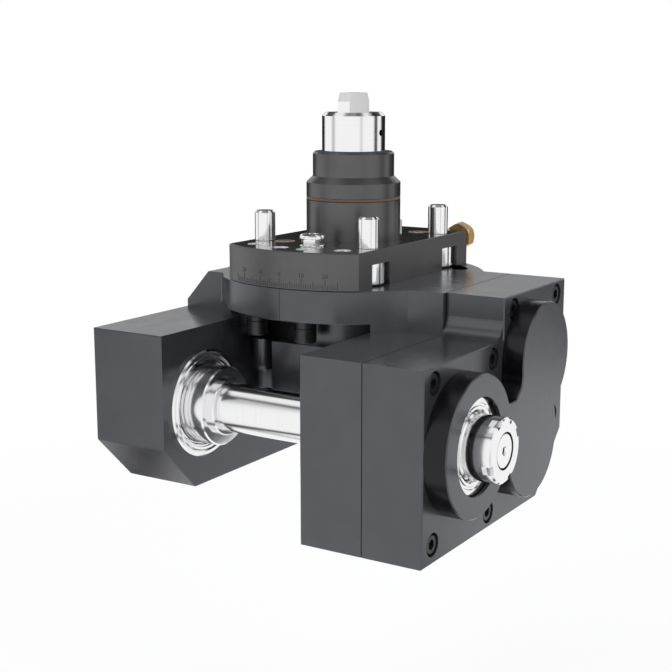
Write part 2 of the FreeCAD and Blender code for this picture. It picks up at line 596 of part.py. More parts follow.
def make_head():
    """The swivel head: disc, left wing, hub, bevel case and the inner half of the gear case."""
    case = prism("case_prism", "x", housing_outline(), (size.right_in, gasket_left))
    case = bevelled("case_edges", case, size.edge_break, lambda edge: abs(edge.CenterOfMass.x - size.right_in.now) < 0.01
                    and edge.CenterOfMass.y < size.neck_front.now - 1)
    wing = box("wing_box", (size.left_out, 0), (size.wing_front, size.back), (size.wing_low, disc_top))
    bevel_x = size.left_out + size.wing_bevel_across
    bevel_z = disc_top - size.wing_bevel_down
    wing_bevel = prism("wing_bevel", "y", [(bevel_x, disc_top), (size.left_out, bevel_z), (size.left_out - 5, bevel_z),
                                           (size.left_out - 5, disc_top + 5), (bevel_x, disc_top + 5)],
                       (size.wing_front - 1, size.back + 1))
    wing = cut("wing_cut", wing, [wing_bevel])
    disc = rod("disc", "z", (0, 0), size.flange_front_r, (disc_low, disc_top))
    disc = bevelled("disc_edges", disc, size.edge_break, lambda edge: edge.Closed)
    round_r = size.wing_fillet
    round_y = size.wing_front - round_r
    round_reach = size.flange_front_r + round_r
    round_x = -root(round_reach * round_reach - round_y * round_y)
    share = size.flange_front_r / round_reach
    corner_zs = (disc_low + size.edge_break, disc_top - size.edge_break)
    corner = cut("wing_corner",
                 box("wing_corner_box", (round_x, round_x * share), (round_y * share, size.wing_front + 1), corner_zs),
                 [rod("wing_corner_round", "z", (round_x, round_y), round_r, corner_zs)])
    hub_zs = (size.case_top - 1, disc_low + 1)
    hub_r = size.hub_d / 2
    hub = common("hub", box("hub_box", (size.left_in, size.right_in + 1), (-hub_r, hub_r), hub_zs),
                 rod("hub_disc", "z", (0, 0), hub_r, hub_zs))
    bridge = box("bridge_box", (size.left_in, size.right_in + 1), (size.case_front, size.back),
                 (size.case_low, size.case_top))
    jet_at = (size.jet_x, size.jet_y)
    bridge = cut("bridge", bridge, [rod("jet_room", "z", jet_at, size.jet_room, (size.case_low - 1, size.case_top + 1))])
    lug_zs = (size.jet_top, size.case_top)
    lug = rod("jet_lug", "z", jet_at, size.jet_d / 2, lug_zs)
    rib = box("jet_rib", (size.jet_x - 4, size.jet_x + 4), (size.jet_y, size.jet_y + size.jet_room + 4), lug_zs)
    foot = common("disc_foot", box("foot_box", (size.right_in, gasket_left), (-size.flange_front_r, 0),
                                   (size.wing_low - 1, disc_low + 1)),
                  rod("foot_disc", "z", (0, 0), size.flange_front_r, (size.wing_low - 1, disc_low + 1)))
    blank = fuse("head_blank", [disc, wing, corner, case, hub, bridge, lug, rib, foot])
    tools = [
        rod("spigot_recess", "z", (0, 0), size.spigot_d / 2 + size.swivel_gap, (spigot_low - 0.2, disc_top + 1)),
        rod("bevel_bore", "z", (0, 0), size.case_bore_d / 2, (size.case_floor, spigot_low)),
        rod("cross_seat", "x", cross_at, size.cross_bearing_d / 2, (size.cross_bearing_left, gasket_left + 1)),
        rod("cross_way", "x", cross_at, size.cross_bearing_d / 2 - 4, (0, size.cross_bearing_left + 1)),
        rod("idler_seat", "x", idler_at, size.idler_bearing_d / 2, (gasket_left - size.idler_bearing_w, gasket_left + 1)),
        rod("spindle_seat", "x", spindle_at, size.spindle_bearing_d / 2, (spindle_bearing_left, gasket_left + 1)),
        rod("spindle_way", "x", spindle_at, size.sleeve_d / 2 + size.bore_play, (size.right_in - 1, gasket_left)),
        rod("nose_seat", "x", spindle_at, size.nose_seal_d / 2, (size.right_in - 1, size.right_in + size.nose_seal_w)),
        rod("jet_hole", "z", jet_at, size.jet_stem_d / 2, (size.jet_top - 1, size.case_top - 1)),
    ]
    tools += screw_groove("head_groove")
    half_slot = size.clamp_screw_d / 2 + size.slot_play / 2
    slot_zs = (disc_low - 1, disc_top + 1)
    tools += clamp_ways("slot", (size.clamp_r - half_slot, size.clamp_r + half_slot), slot_zs, 0)
    ends = (clamp_front[0] - size.swivel, clamp_front[1] + size.swivel,
            clamp_back[0] - size.swivel, clamp_back[1] + size.swivel)
    tools += [rod(f"slot_end{i}", "z", clamp_spot(angle), half_slot, slot_zs) for i, angle in enumerate(ends)]
    for i, (y, z) in enumerate(cover_screw_spots):
        tools.append(rod(f"cover_thread{i}", "x", (y, z), size.cover_screw_d / 2,
                         (gasket_left - size.cover_screw_bite - 2, gasket_left + 1)))
    for i, (y, z) in enumerate(cover_dowel_spots):
        tools.append(rod(f"head_dowel{i}", "x", (y, z), size.dowel_d / 2, (gasket_left - size.dowel_bite * 1.05, gasket_left + 1)))
    for i, (x, y) in enumerate(support_screw_spots):
        top = disc_top - size.support_head_high - 0.6
        tools.append(rod(f"support_sink{i}", "z", (x, y), size.support_head_d / 2 + 0.5, (top, disc_top + 1)))
        tools.append(rod(f"support_hole{i}", "z", (x, y), size.support_screw_d / 2 + 0.2, (size.wing_low - 1, top + 1)))
    node("swivel_head", cut("swivel_head_cut", blank, tools))


def make_support():
    """The counter support on the left, its bearing, rings, cap and screws."""
    block = prism("support_prism", "x", [
        (size.front, size.left_low + size.left_bevel), (size.front + size.left_bevel, size.left_low),
        (size.back - size.left_bevel, size.left_low), (size.back, size.left_low + size.left_bevel),
        (size.back, size.wing_low), (size.front, size.wing_low)], (size.left_out, size.left_in))
    block = bevelled("support_edges", block, size.edge_break, lambda edge: edge.CenterOfMass.y < size.wing_front.now - 9
                     or edge.CenterOfMass.z < size.wing_low.now - 9)
    ring_left = support_ring_left
    bearing_left = support_bearing_left
    cap_right = size.left_out + size.support_cap_w
    cap_at = [(size.spindle_y + size.cap_screw_pitch_r * math.cos(math.radians(a)),
               size.spindle_z + size.cap_screw_pitch_r * math.sin(math.radians(a))) for a in (45, 135, 225, 315)]
    tools = [
        rod("support_seat", "x", spindle_at, size.support_bearing_d / 2, (bearing_left, size.left_in + 1)),
        rod("support_ring_seat", "x", spindle_at, size.support_ring_d / 2, (ring_left, size.left_in + 1)),
        rod("support_bore", "x", spindle_at, size.support_bore_d / 2, (cap_right - 1, bearing_left + 1)),
        rod("cap_recess", "x", spindle_at, size.support_cap_d / 2, (size.left_out - 1, cap_right)),
    ]
    tools += [rod(f"cap_thread{i}", "x", at, size.cap_screw_d / 2, (cap_right - 1, cap_right + size.cap_screw_bite))
              for i, at in enumerate(cap_at)]
    tools += [rod(f"support_thread{i}", "z", (x, y), size.support_screw_d / 2,
                  (size.wing_low - size.support_bite - 2, size.wing_low + 1)) for i, (x, y) in enumerate(support_screw_spots)]
    tools += screw_groove("support_groove")
    node("support_block", cut("support_block_cut", block, tools))
    node("support_bearing", bearing("support_bearing_body", size.collar_d, size.support_bearing_d, "x", spindle_at,
                                    (bearing_left, ring_left)))
    outer = size.support_ring_d / 2
    inner = size.collar_d / 2 + 0.45
    proud = size.support_ring_deep + size.support_ring_proud
    node("support_ring", turned("support_ring_body", [
        (inner, 0), (outer, 0), (outer, proud - 0.9), (outer - 0.9, proud), (outer - 2.6, proud),
        (outer - 3.2, proud - 0.9), (outer - 3.8, proud - 0.2), (outer - 5.2, proud - 0.2),
        (outer - 5.6, proud - 1.1), (outer - 6.2, proud - 1.1), (inner + 0.4, proud - 2.6), (inner, proud - 2.6)],
        "+x", (ring_left,) + spindle_at))
    cap = ring("cap_blank", 0, size.support_cap_d / 2, "x", spindle_at, (size.left_out, cap_right))
    holes = []
    for i, at in enumerate(cap_at):
        holes.append(rod(f"cap_hole{i}", "x", at, size.cap_screw_d / 2, (size.left_out - 1, cap_right + 1)))
        holes.append(rod(f"cap_sink{i}", "x", at, size.cap_head_d / 2 + 0.3,
                         (size.left_out - 1, size.left_out + size.cap_head_high + 0.4)))
    node("support_cap", cut("support_cap_cut", cap, holes))
    screws = [screw(f"cap_screw{i}", size.cap_screw_d, size.cap_head_d, size.cap_head_high,
                    size.support_cap_w - size.cap_head_high + size.cap_screw_bite * 0.8,
                    (size.left_out + 0.4,) + at, "-x") for i, at in enumerate(cap_at)]
    node("support_cap_screws", group("cap_screw_group", screws))
    screws = [screw(f"support_screw{i}", size.support_screw_d, size.support_head_d, size.support_head_high,
                    disc_top - size.wing_low - size.support_head_high - 0.6 + size.support_bite,
                    (x, y, disc_top - 0.6), "+z") for i, (x, y) in enumerate(support_screw_spots)]
    node("support_screws", group("support_screw_group", screws))


def gear_space(name, span):
    """The room for the three spur gears, each with play over its tips."""
    add = size.spur_module
    rooms = []
    for label, at, teeth in (("pinion", cross_at, size.pinion_teeth), ("idler", idler_at, size.idler_teeth),
                             ("spindle", spindle_at, size.spindle_teeth)):
        radius = size.spur_module * teeth / 2 + add + size.tip_play
        rooms.append(rod(f"{name}_{label}", "x", at, radius, span))
    return rooms


def boss_shape():
    """The raised three-lobed boss: a disc over each lobe, a web between, and rounded inner corners."""
    lobes = [(size.spindle_y.now, size.spindle_z.now, size.boss_spindle_r.now),
             (idler_y.now, idler_z.now, size.boss_idler_r.now),
             (size.boss_top_y.now, size.boss_top_z.now, size.boss_top_r.now)]
    pieces = [Part.makeCylinder(radius, 1, FreeCAD.Vector(0, y, z), FreeCAD.Vector(1, 0, 0)) for y, z, radius in lobes]
    (spindle_y, spindle_z, spindle_r), (low_y, low_z, low_r), (top_y, top_z, top_r) = lobes
    web = [(spindle_y + 0.72 * spindle_r, spindle_z + 0.39 * spindle_r),
           (top_y - 1.25 * top_r, top_z - 0.54 * top_r), (top_y - 1.03 * top_r, top_z - 0.36 * top_r),
           (top_y - 0.98 * top_r, top_z - 0.12 * top_r), (top_y, top_z), (low_y, low_z),
           (low_y - 0.8 * low_r, low_z - 0.35 * low_r), (spindle_y + 0.7 * spindle_r, spindle_z - 0.45 * spindle_r)]
    corners = [FreeCAD.Vector(0, y, z) for y, z in web]
    pieces.append(Part.Face(Part.makePolygon(corners + corners[:1])).extrude(FreeCAD.Vector(1, 0, 0)))
    whole = pieces[0].multiFuse(pieces[1:]).removeSplitter()
    flat = [face for face in whole.Faces if abs(face.CenterOfMass.x) < 1e-6][0]
    wider = flat.makeOffset2D(size.boss_round.now)
    return wider.makeOffset2D(-size.boss_round.now)


def make_cover():
    """The outer half of the gear case with its boss, gasket, screws, dowels and face ring."""
    corners = [(size.front, size.right_low), (size.back - size.right_bevel, size.right_low),
               (size.back, size.right_low + size.right_bevel), (size.back, disc_top),
               (size.upper_front, disc_top), (size.upper_front, size.wing_low), (size.front, size.wing_low)]
    plate = prism("cover_prism", "x", corners, (gasket_right, right_out))
    plate = bevelled("cover_edges", plate, size.edge_break,
                     lambda edge: abs(edge.CenterOfMass.x - right_out.now) < 0.01)
    fillet = size.upper_fillet
    toe = cut("fillet_cut",
              box("fillet_box", (gasket_right, right_out - size.edge_break),
                  (size.upper_front - fillet, size.upper_front + 1), (size.wing_low - 1, size.wing_low + fillet)),
              [rod("fillet_round", "x", (size.upper_front - fillet, size.wing_low + fillet), fillet,
                   (gasket_right - 1, right_out + 1))])
    flat = boss_shape()
    lift = boss_face.now - right_out.now + 1
    flat.translate(FreeCAD.Vector(right_out.now - 1, 0, 0))
    solid = flat.extrude(FreeCAD.Vector(lift, 0, 0))
    boss = made("boss", solid)
    boss = bevelled("boss_edges", boss, size.edge_break, lambda edge: abs(edge.CenterOfMass.x - boss_face.now) < 0.01)
    blank = fuse("cover_blank", [plate, toe, boss])
    tools = gear_space("cover_room", (gasket_right - 1, case_right))
    tools += [
        rod("cover_cross_seat", "x", cross_at, size.cross_bearing_d / 2,
            (case_right - 1, case_right + size.cross_bearing_w)),
        rod("cover_idler_seat", "x", idler_at, size.idler_bearing_d / 2,
            (case_right - 1, case_right + size.idler_bearing_w)),
        rod("cover_spindle_seat", "x", spindle_at, size.spindle_bearing_d / 2,
            (case_right - 1, case_right + size.cover_bearing_w)),
        rod("face_recess", "x", spindle_at, size.face_recess_d / 2, (case_right, boss_face + 1)),
    ]
    for i, (y, z) in enumerate(cover_screw_spots):
        tools.append(rod(f"cover_hole{i}", "x", (y, z), size.cover_screw_d / 2 + 0.2, (gasket_right - 1, right_out + 1)))
        tools.append(rod(f"cover_sink{i}", "x", (y, z), size.cover_sink_d / 2,
                         (right_out - size.cover_sink_deep, right_out + 1)))
    for i, (y, z) in enumerate(cover_dowel_spots):
        tools.append(rod(f"cover_dowel{i}", "x", (y, z), size.dowel_d / 2, (gasket_right - 1, gasket_right + size.dowel_bite * 1.05)))
    node("gear_cover", cut("gear_cover_cut", blank, tools))
    inset = size.gasket_inset
    sheet_corners = [
        (size.front + inset, size.right_low + inset), (size.back - size.right_bevel - inset, size.right_low + inset),
        (size.back - inset, size.right_low + size.right_bevel + inset), (size.back - inset, disc_top - inset),
        (size.upper_front + inset, disc_top - inset), (size.upper_front + inset, size.wing_low - inset),
        (size.front + inset, size.wing_low - inset)]
    gasket = prism("gasket_prism", "x", sheet_corners, (gasket_left, gasket_right))
    holes = gear_space("gasket_room", (gasket_left - 1, gasket_right + 1))
    holes += [rod(f"gasket_hole{i}", "x", at, size.cover_screw_d / 2 + 0.2, (gasket_left - 1, gasket_right + 1))
              for i, at in enumerate(cover_screw_spots + cover_dowel_spots)]
    node("cover_gasket", cut("cover_gasket_cut", gasket, holes))
    long = right_out - size.cover_sink_deep - gasket_left + size.cover_screw_bite
    screws = [screw(f"cover_screw{i}", size.cover_screw_d, size.cover_head_d, size.cover_head_high, long,
                    (right_out - size.cover_sink_deep + size.cover_head_high,) + at, "+x")
              for i, at in enumerate(cover_screw_spots)]
    node("cover_screws", group("cover_screw_group", screws))
    dowels = [ring(f"dowel{i}", 0, size.dowel_d / 2, "x", at, (gasket_left - size.dowel_bite, gasket_right + size.dowel_bite))
              for i, at in enumerate(cover_dowel_spots)]
    node("cover_dowels", group("dowel_group", dowels))
    bearing_right = case_right + size.cover_bearing_w
    ring_face = boss_face - size.face_ring_back
    back = bearing_right
    outer = size.face_recess_d / 2
    inner = size.sleeve_d / 2 + 0.35
    wide = ring_face - back
    blank = turned("face_ring_body", [
        (inner, 0), (outer, 0), (outer, wide - 0.8), (outer - 0.8, wide), (outer - 3.2, wide),
        (outer - 3.6, wide - 0.5), (outer - 4.6, wide - 0.5), (outer - 5.0, wide), (inner + 0.8, wide),
        (inner, wide - 0.8)], "+x", (back,) + spindle_at)
    node("face_ring", cut("face_ring_cut", blank, nut_slots("face", outer, ring_face - 3, ring_face + 1, 48)))


def make_case_bearings():
    """The fixed bearings and the seal of the gear case."""
    sleeve = size.sleeve_d
    node("nose_seal", ring("nose_seal_body", sleeve / 2 + size.run_fit, size.nose_seal_d / 2, "x", spindle_at,
                           (size.right_in, size.right_in + size.nose_seal_w)))
    pair = [
        bearing("spindle_bearing_left", sleeve, size.spindle_bearing_d, "x", spindle_at,
                (spindle_bearing_left, spindle_bearing_left + size.spindle_bearing_w)),
        bearing("spindle_bearing_right", sleeve, size.spindle_bearing_d, "x", spindle_at,
                (case_right, case_right + size.cover_bearing_w))]
    node("spindle_bearings", group("spindle_bearing_group", pair))
    pair = [
        bearing("idler_bearing_left", size.idler_shaft_d, size.idler_bearing_d, "x", idler_at,
                (gasket_left - size.idler_bearing_w, gasket_left)),
        bearing("idler_bearing_right", size.idler_shaft_d, size.idler_bearing_d, "x", idler_at,
                (case_right, case_right + size.idler_bearing_w))]
    node("idler_bearings", group("idler_bearing_group", pair))
    pair = [
        bearing("cross_bearing_left", size.cross_shaft_d, size.cross_bearing_d, "x", cross_at,
                (size.cross_bearing_left, size.cross_bearing_left + size.cross_bearing_w)),
        bearing("cross_bearing_right", size.cross_shaft_d, size.cross_bearing_d, "x", cross_at,
                (case_right, case_right + size.cross_bearing_w))]
    node("cross_bearings", group("cross_bearing_group", pair))
    jet_r = size.jet_d / 2
    bore = size.jet_bore_d / 2
    stem = size.jet_stem_d / 2
    node("coolant_jet", turned("jet_body", [
        (bore, size.jet_low), (jet_r * 0.55, size.jet_low), (jet_r * 0.9, size.jet_low + 1.6), (jet_r, size.jet_low + 4),
        (jet_r, size.jet_top), (stem, size.jet_top), (stem, size.case_top - 1), (bore, size.case_top - 1)],
        "+z", (size.jet_x, size.jet_y, 0)))


def involute_side(base_r, radius):
    """The polar angle of the involute at this radius, from where it leaves the base circle."""
    if radius <= base_r:
        return 0.0
    roll = math.sqrt((radius / base_r) ** 2 - 1)
    return roll - math.atan(roll)


def half_tooth(pitch_r, teeth, module, base_r, radius, thin):
    """Half the angle that a tooth takes at this radius."""
    half = math.pi / (2 * teeth) - thin / pitch_r
    return half + involute_side(base_r, pitch_r) - involute_side(base_r, radius)


def spur_face(teeth, module, thin, first):
    """A flat spur gear outline about the origin, with one tooth's middle at the angle first."""
    pitch_r = module * teeth / 2
    tip = pitch_r + module
    foot = pitch_r - 1.25 * module
    base = pitch_r * math.cos(math.radians(20))
    low = max(foot, base)

    def spot(radius, angle):
        return FreeCAD.Vector(0, radius * math.cos(angle), radius * math.sin(angle))

    edges = []
    for k in range(teeth):
        middle = first + 2 * math.pi * k / teeth
        after = first + 2 * math.pi * (k + 1) / teeth
        halves = [half_tooth(pitch_r, teeth, module, base, r, thin) for r in (low, pitch_r, tip)]
        rise = [spot(r, middle - a) for r, a in zip((low, pitch_r, tip), halves)]
        fall = [spot(r, middle + a) for r, a in zip((tip, pitch_r, low), reversed(halves))]
        start = spot(foot, middle - halves[0])
        end = spot(foot, middle + halves[0])
        following = spot(foot, after - halves[0])
        if low > foot + 1e-6:
            edges.append(Part.LineSegment(start, rise[0]).toShape())
        edges.append(Part.Arc(*rise).toShape())
        edges.append(Part.Arc(rise[-1], spot(tip, middle), fall[0]).toShape())
        edges.append(Part.Arc(*fall).toShape())
        if low > foot + 1e-6:
            edges.append(Part.LineSegment(fall[-1], end).toShape())
        edges.append(Part.Arc(end, spot(foot, (middle + after) / 2), following).toShape())
    return Part.Face(Part.Wire(edges))


def spur_gear(teeth, first, bore_r, hub_r, hub_span, web):
    """A spur gear along X between the gear faces, with a hub and, if asked, a thinner web."""
    left = gear_left.now
    face = size.gear_face.now
    module = size.spur_module.now
    solid = spur_face(teeth, module, size.backlash.now, first).extrude(FreeCAD.Vector(face, 0, 0))
    way = FreeCAD.Vector(1, 0, 0)
    if web:
        rim = module * teeth / 2 - 3.4 * module
        for start in (-1, face - web):
            room = Part.makeCylinder(rim, web + 1, FreeCAD.Vector(start, 0, 0), way)
            room = room.cut(Part.makeCylinder(hub_r, web + 1, FreeCAD.Vector(start, 0, 0), way))
            solid = solid.cut(room)
    hub = Part.makeCylinder(hub_r, hub_span[1] - hub_span[0], FreeCAD.Vector(hub_span[0] - left, 0, 0), way)
    solid = solid.fuse(hub)
    solid = solid.cut(Part.makeCylinder(bore_r, face + 60, FreeCAD.Vector(-30, 0, 0), way))
    return solid.removeSplitter()


def bevel_gear(first, bore_r, nose, back_hub_r, back):
    """A mitre bevel gear about +Z whose cone points down to the origin."""
    teeth = int(size.bevel_teeth.now)
    module = size.bevel_module.now
    pitch_r = module * teeth / 2
    cone = pitch_r * math.sqrt(2)
    small = (cone - size.bevel_face.now) / cone
    flat_r = pitch_r * math.sqrt(2)
    flat_teeth = teeth * math.sqrt(2)
    base = flat_r * math.cos(math.radians(20))
    lean = math.radians(45)
    thin = size.backlash.now

    def spot(radius, angle, shrink):
        """A point of the tooth, given on the flat back cone, moved to its place in space."""
        across = radius * math.sin(angle)
        out = radius * math.cos(angle) - flat_r
        place = FreeCAD.Vector(pitch_r + out * math.cos(lean), across, pitch_r - out * math.sin(lean))
        return place * shrink

    rows = (flat_r - 1.45 * module, flat_r, flat_r + module)
    halves = [half_tooth(flat_r, flat_teeth, module, base, max(r, base), thin) for r in rows]

    def section(shrink):
        rise = [spot(r, -a, shrink) for r, a in zip(rows, halves)]
        fall = [spot(r, a, shrink) for r, a in zip(reversed(rows), reversed(halves))]
        edges = [Part.Arc(*rise).toShape(), Part.LineSegment(rise[-1], fall[0]).toShape(),
                 Part.Arc(*fall).toShape(), Part.LineSegment(fall[-1], rise[0]).toShape()]
        return Part.Wire(edges)

    tooth = Part.makeLoft([section(1.0), section(small)], True, True)
    foot = 1.25 * module
    foot_r = pitch_r - foot * math.cos(lean)
    foot_z = pitch_r + foot * math.sin(lean)
    tip_r = pitch_r + module * math.cos(lean)
    tip_z = pitch_r - module * math.sin(lean)
    profile = [(0, nose), (foot_r * small - 1.0, nose), (foot_r * small, foot_z * small), (foot_r, foot_z),
               (tip_r - 1.2, tip_z + 0.3 + foot * 1.6), (back_hub_r, back - 1.5), (back_hub_r, back), (0, back)]
    corners = [FreeCAD.Vector(r, 0, z) for r, z in profile]
    body = Part.Face(Part.makePolygon(corners + corners[:1])).revolve(FreeCAD.Vector(), FreeCAD.Vector(0, 0, 1), 360)
    rows_of_teeth = []
    for k in range(teeth):
        copy = tooth.copy()
        copy.rotate(FreeCAD.Vector(), FreeCAD.Vector(0, 0, 1), math.degrees(first) + 360.0 * k / teeth)
        rows_of_teeth.append(copy)
    solid = body.multiFuse(rows_of_teeth)
    return solid.cut(Part.makeCylinder(bore_r, 200, FreeCAD.Vector(0, 0, -100)))


def make_drive():
    """The driven input: coupling with its tang, shaft, spacer and bevel pinion."""
    shaft_r = size.shaft_d / 2
    collar_r = size.coupling_d / 2
    bevel = size.coupling_bevel
    blank = turned("coupling_blank", [
        (shaft_r, size.coupling_low), (collar_r - 0.6, size.coupling_low), (collar_r, size.coupling_low + 0.6),
        (collar_r, size.coupling_high - bevel), (collar_r - bevel, size.coupling_high), (0, size.coupling_high),
        (0, size.coupling_socket), (shaft_r, size.coupling_socket)])
    top = size.coupling_high + size.tang_high
    half = size.tang_long / 2
    taper = size.tang_taper
    tang_half = size.tang_thick / 2
    tang = prism("tang", "x", [
        (-half, size.coupling_high - 1), (half, size.coupling_high - 1), (half, top - size.tang_taper_high),
        (half - taper, top), (taper - half, top), (-half, top - size.tang_taper_high)], (-tang_half, tang_half))
    hole = rod("spanner_hole", "x", (0, size.cross_hole_z), size.cross_hole_d / 2, (shaft_r - 1, collar_r + 1))
    node("drive_coupling", cut("coupling_cut", fuse("coupling_whole", [blank, tang]), [hole]))
    node("drive_shaft", ring("drive_shaft_body", 0, shaft_r, "z", (0, 0), (size.shaft_low, size.coupling_socket), 1.0))
    play = size.side_play
    node("shaft_spacer", ring("shaft_spacer_body", shaft_r, size.spacer_d / 2, "z", (0, 0),
                              (lower_bearing_top + play, size.upper_bearing_z - play)))
    gear = bevel_gear(0.0, shaft_r.now, 15.5, 15.5, spigot_low.now + 1.0 - play.now - size.cross_z.now)
    node("input_bevel", made("input_bevel_body", gear, (0, 0, size.cross_z.now)))


def make_cross():
    """The cross shaft with its bevel gear and spur pinion."""
    shaft_r = size.cross_shaft_d / 2
    shoulder = size.cross_shoulder_d / 2
    play = size.side_play
    left = 14.0
    hub_end = 31.0
    first_bearing = (size.cross_bearing_left, size.cross_bearing_left + size.cross_bearing_w)
    end = case_right + size.cross_bearing_w - 0.6
    node("cross_shaft", turned("cross_shaft_body", [
        (0, left), (shaft_r - 1, left), (shaft_r, left + 1), (shaft_r, hub_end), (shoulder, hub_end),
        (shoulder, first_bearing[0] - play), (shaft_r, first_bearing[0] - play), (shaft_r, first_bearing[1] + play),
        (shoulder, first_bearing[1] + play), (shoulder, gear_left), (shaft_r, gear_left),
        (shaft_r, end - 1), (shaft_r - 1, end), (0, end)], "+x", (0,) + cross_at))
    half_pitch = math.pi / size.bevel_teeth.now
    gear = bevel_gear(half_pitch, shaft_r.now, 15.5, 14.0, hub_end)
    node("cross_bevel", made("cross_bevel_body", gear, (0, 0, size.cross_z.now), "+x"))
    pinion = spur_gear(int(size.pinion_teeth.now), phases()[0], shaft_r.now, 10.5,
                       (gear_left.now, case_right.now - play.now), 0)
    node("cross_pinion", made("cross_pinion_body", pinion, (gear_left.now, 0, size.cross_z.now)))


def phases():
    """Where each spur gear's first tooth stands, so that all three mesh at rest."""
    line = math.atan2(idler_z.now - size.cross_z.now, idler_y.now)
    pinion_first = line
    idler_pitch = 2 * math.pi / size.idler_teeth.now
    idler_first = line + math.pi + idler_pitch / 2
    onward = math.atan2(size.spindle_z.now - idler_z.now, size.spindle_y.now - idler_y.now)
    share = ((onward - idler_first) / idler_pitch) % 1.0
    spindle_pitch = 2 * math.pi / size.spindle_teeth.now
    spindle_first = onward + math.pi + (share + 0.5) * spindle_pitch
    return pinion_first, idler_first, spindle_first


def make_idler():
    """The idler gear and its shaft."""
    shaft_r = size.idler_shaft_d / 2
    left = gasket_left - size.idler_bearing_w + 0.5
    right = case_right + size.idler_bearing_w - 0.5
    node("idler_shaft", ring("idler_shaft_body", 0, shaft_r, "x", idler_at, (left, right), 1.0))
    play = size.side_play.now
    gear = spur_gear(int(size.idler_teeth.now), phases()[1], shaft_r.now, 13.0,
                     (gasket_left.now + play, case_right.now - play), 4.5)
    for k in range(6):
        turn = math.radians(60 * k)
        middle = FreeCAD.Vector(-1, 21.5 * math.cos(turn), 21.5 * math.sin(turn))
        gear = gear.cut(Part.makeCylinder(5.2, size.gear_face.now + 2, middle, FreeCAD.Vector(1, 0, 0)))
    node("idler_gear", made("idler_gear_body", gear, (gear_left.now, idler_y.now, idler_z.now)))


def make_spindle():
    """The hob spindle: sleeve, gear, arbor, nuts and the support collar."""
    sleeve_r = size.sleeve_d / 2
    tail_r = size.arbor_tail_d / 2
    thread_r = size.nut_thread_d / 2
    arbor_r = size.arbor_d / 2
    node("spindle_sleeve", ring("sleeve_body", tail_r, sleeve_r, "x", spindle_at,
                                (size.sleeve_left, sleeve_right), 0.8))
    play = size.side_play.now
    gear = spur_gear(int(size.spindle_teeth.now), phases()[2], sleeve_r.now, 23.0,
                     (gasket_left.now + play, case_right.now - play), 0)
    node("spindle_gear", made("spindle_gear_body", gear, (gear_left.now,) + tuple(d.now for d in spindle_at)))
    mouth = 2.4
    node("hob_arbor", turned("arbor_body", [
        (0, size.arbor_left), (tail_r - 1, size.arbor_left), (tail_r, size.arbor_left + 1),
        (tail_r, size.arbor_shoulder), (arbor_r - 0.8, size.arbor_shoulder), (arbor_r, size.arbor_shoulder + 0.8),
        (arbor_r, size.sleeve_left), (tail_r, size.sleeve_left), (tail_r, sleeve_right),
        (thread_r, sleeve_right), (thread_r, nut_right - 1.6), (thread_r - 1.0, nut_right - 0.4),
        (mouth, nut_right - 0.4), (0, nut_right - 0.4 - 1.7 * mouth)], "+x", (0,) + spindle_at))
    nut_r = size.nut_d / 2
    nut = ring("nut_blank", thread_r, nut_r, "x", spindle_at, (sleeve_right, nut_right), 0.8)
    mark = math.radians(66.8)
    mark_r = nut_r - 2.0
    pin_hole = rod("nut_pin_hole", "x", (size.spindle_y + mark_r * math.cos(mark), size.spindle_z + mark_r * math.sin(mark)),
                   size.nut_pin_d / 2, (nut_right - 4, nut_right + 1))
    slots = nut_slots("arbor", nut_r, nut_right - 5, nut_right + 1, 25)
    node("arbor_nut", cut("arbor_nut_cut", nut, slots + [pin_hole]))
    collar_r = size.collar_d / 2
    hub_r = size.collar_hub_d / 2
    collar_left = support_bearing_left + size.side_play
    node("support_collar", turned("support_collar_body", [
        (tail_r, collar_left), (collar_r, collar_left), (collar_r, size.collar_right - 0.8),
        (collar_r - 0.8, size.collar_right), (hub_r, size.collar_right), (hub_r, size.arbor_shoulder - 0.6),
        (hub_r - 0.6, size.arbor_shoulder), (tail_r, size.arbor_shoulder)], "+x", (0,) + spindle_at))
    lock_left = collar_left - size.lock_nut_w
    lock_r = size.lock_nut_d / 2
    lock = ring("lock_blank", tail_r, lock_r, "x", spindle_at, (lock_left, collar_left), 0.6)
    node("support_nut", cut("support_nut_cut", lock, nut_slots("support", lock_r, lock_left - 1, collar_left - 3, 0)))


def nut_slots(name, radius, left, right, turn):
    """Four spanner slots cut into a round nut's rim."""
    slots = []
    for k in range(4):
        half = size.nut_slot_w / 2
        item = doc.addObject("Part::Box", f"{name}_slot{k}")
        bind(item, "Length", dim(right) - left)
        bind(item, "Width", size.nut_slot_w)
        bind(item, "Height", size.nut_slot_deep + 3)
        angle = math.radians(90 * k + turn)
        spin = FreeCAD.Rotation(FreeCAD.Vector(1, 0, 0), math.degrees(angle) - 90)
        item.Placement = FreeCAD.Placement(FreeCAD.Vector(), spin)
        start = radius - size.nut_slot_deep
        bind(item, "Placement.Base.x", left)
        bind(item, "Placement.Base.y", size.spindle_y + start * math.cos(angle) - half * math.sin(angle))
        bind(item, "Placement.Base.z", size.spindle_z + start * math.sin(angle) + half * math.cos(angle))
        slots.append(item)
    return slots


def check_and_write():
    """Stops at a failed object or a bad shape, then writes one file for each node."""
    doc.recompute()
    for item in doc.Objects:
        if "Invalid" in item.State or "Error" in item.State:
            raise RuntimeError(f"{item.Name} failed: {item.State}")
    os.makedirs("parts", exist_ok=True)
    for item in nodes:
        shape = item.Shape
        if shape.isNull() or not shape.isValid() or not shape.Solids:
            raise RuntimeError(f"{item.Label} has no valid solid")
        shape.exportStep(f"parts/{item.Label}.step")
        print(f"{item.Label}: {len(shape.Solids)} solids, {shape.Volume / 1000:.2f} cm3")


make_base()
make_base_fittings()
make_head()
make_support()
make_cover()
make_case_bearings()
make_drive()
make_cross()
make_idler()
make_spindle()
check_and_write()
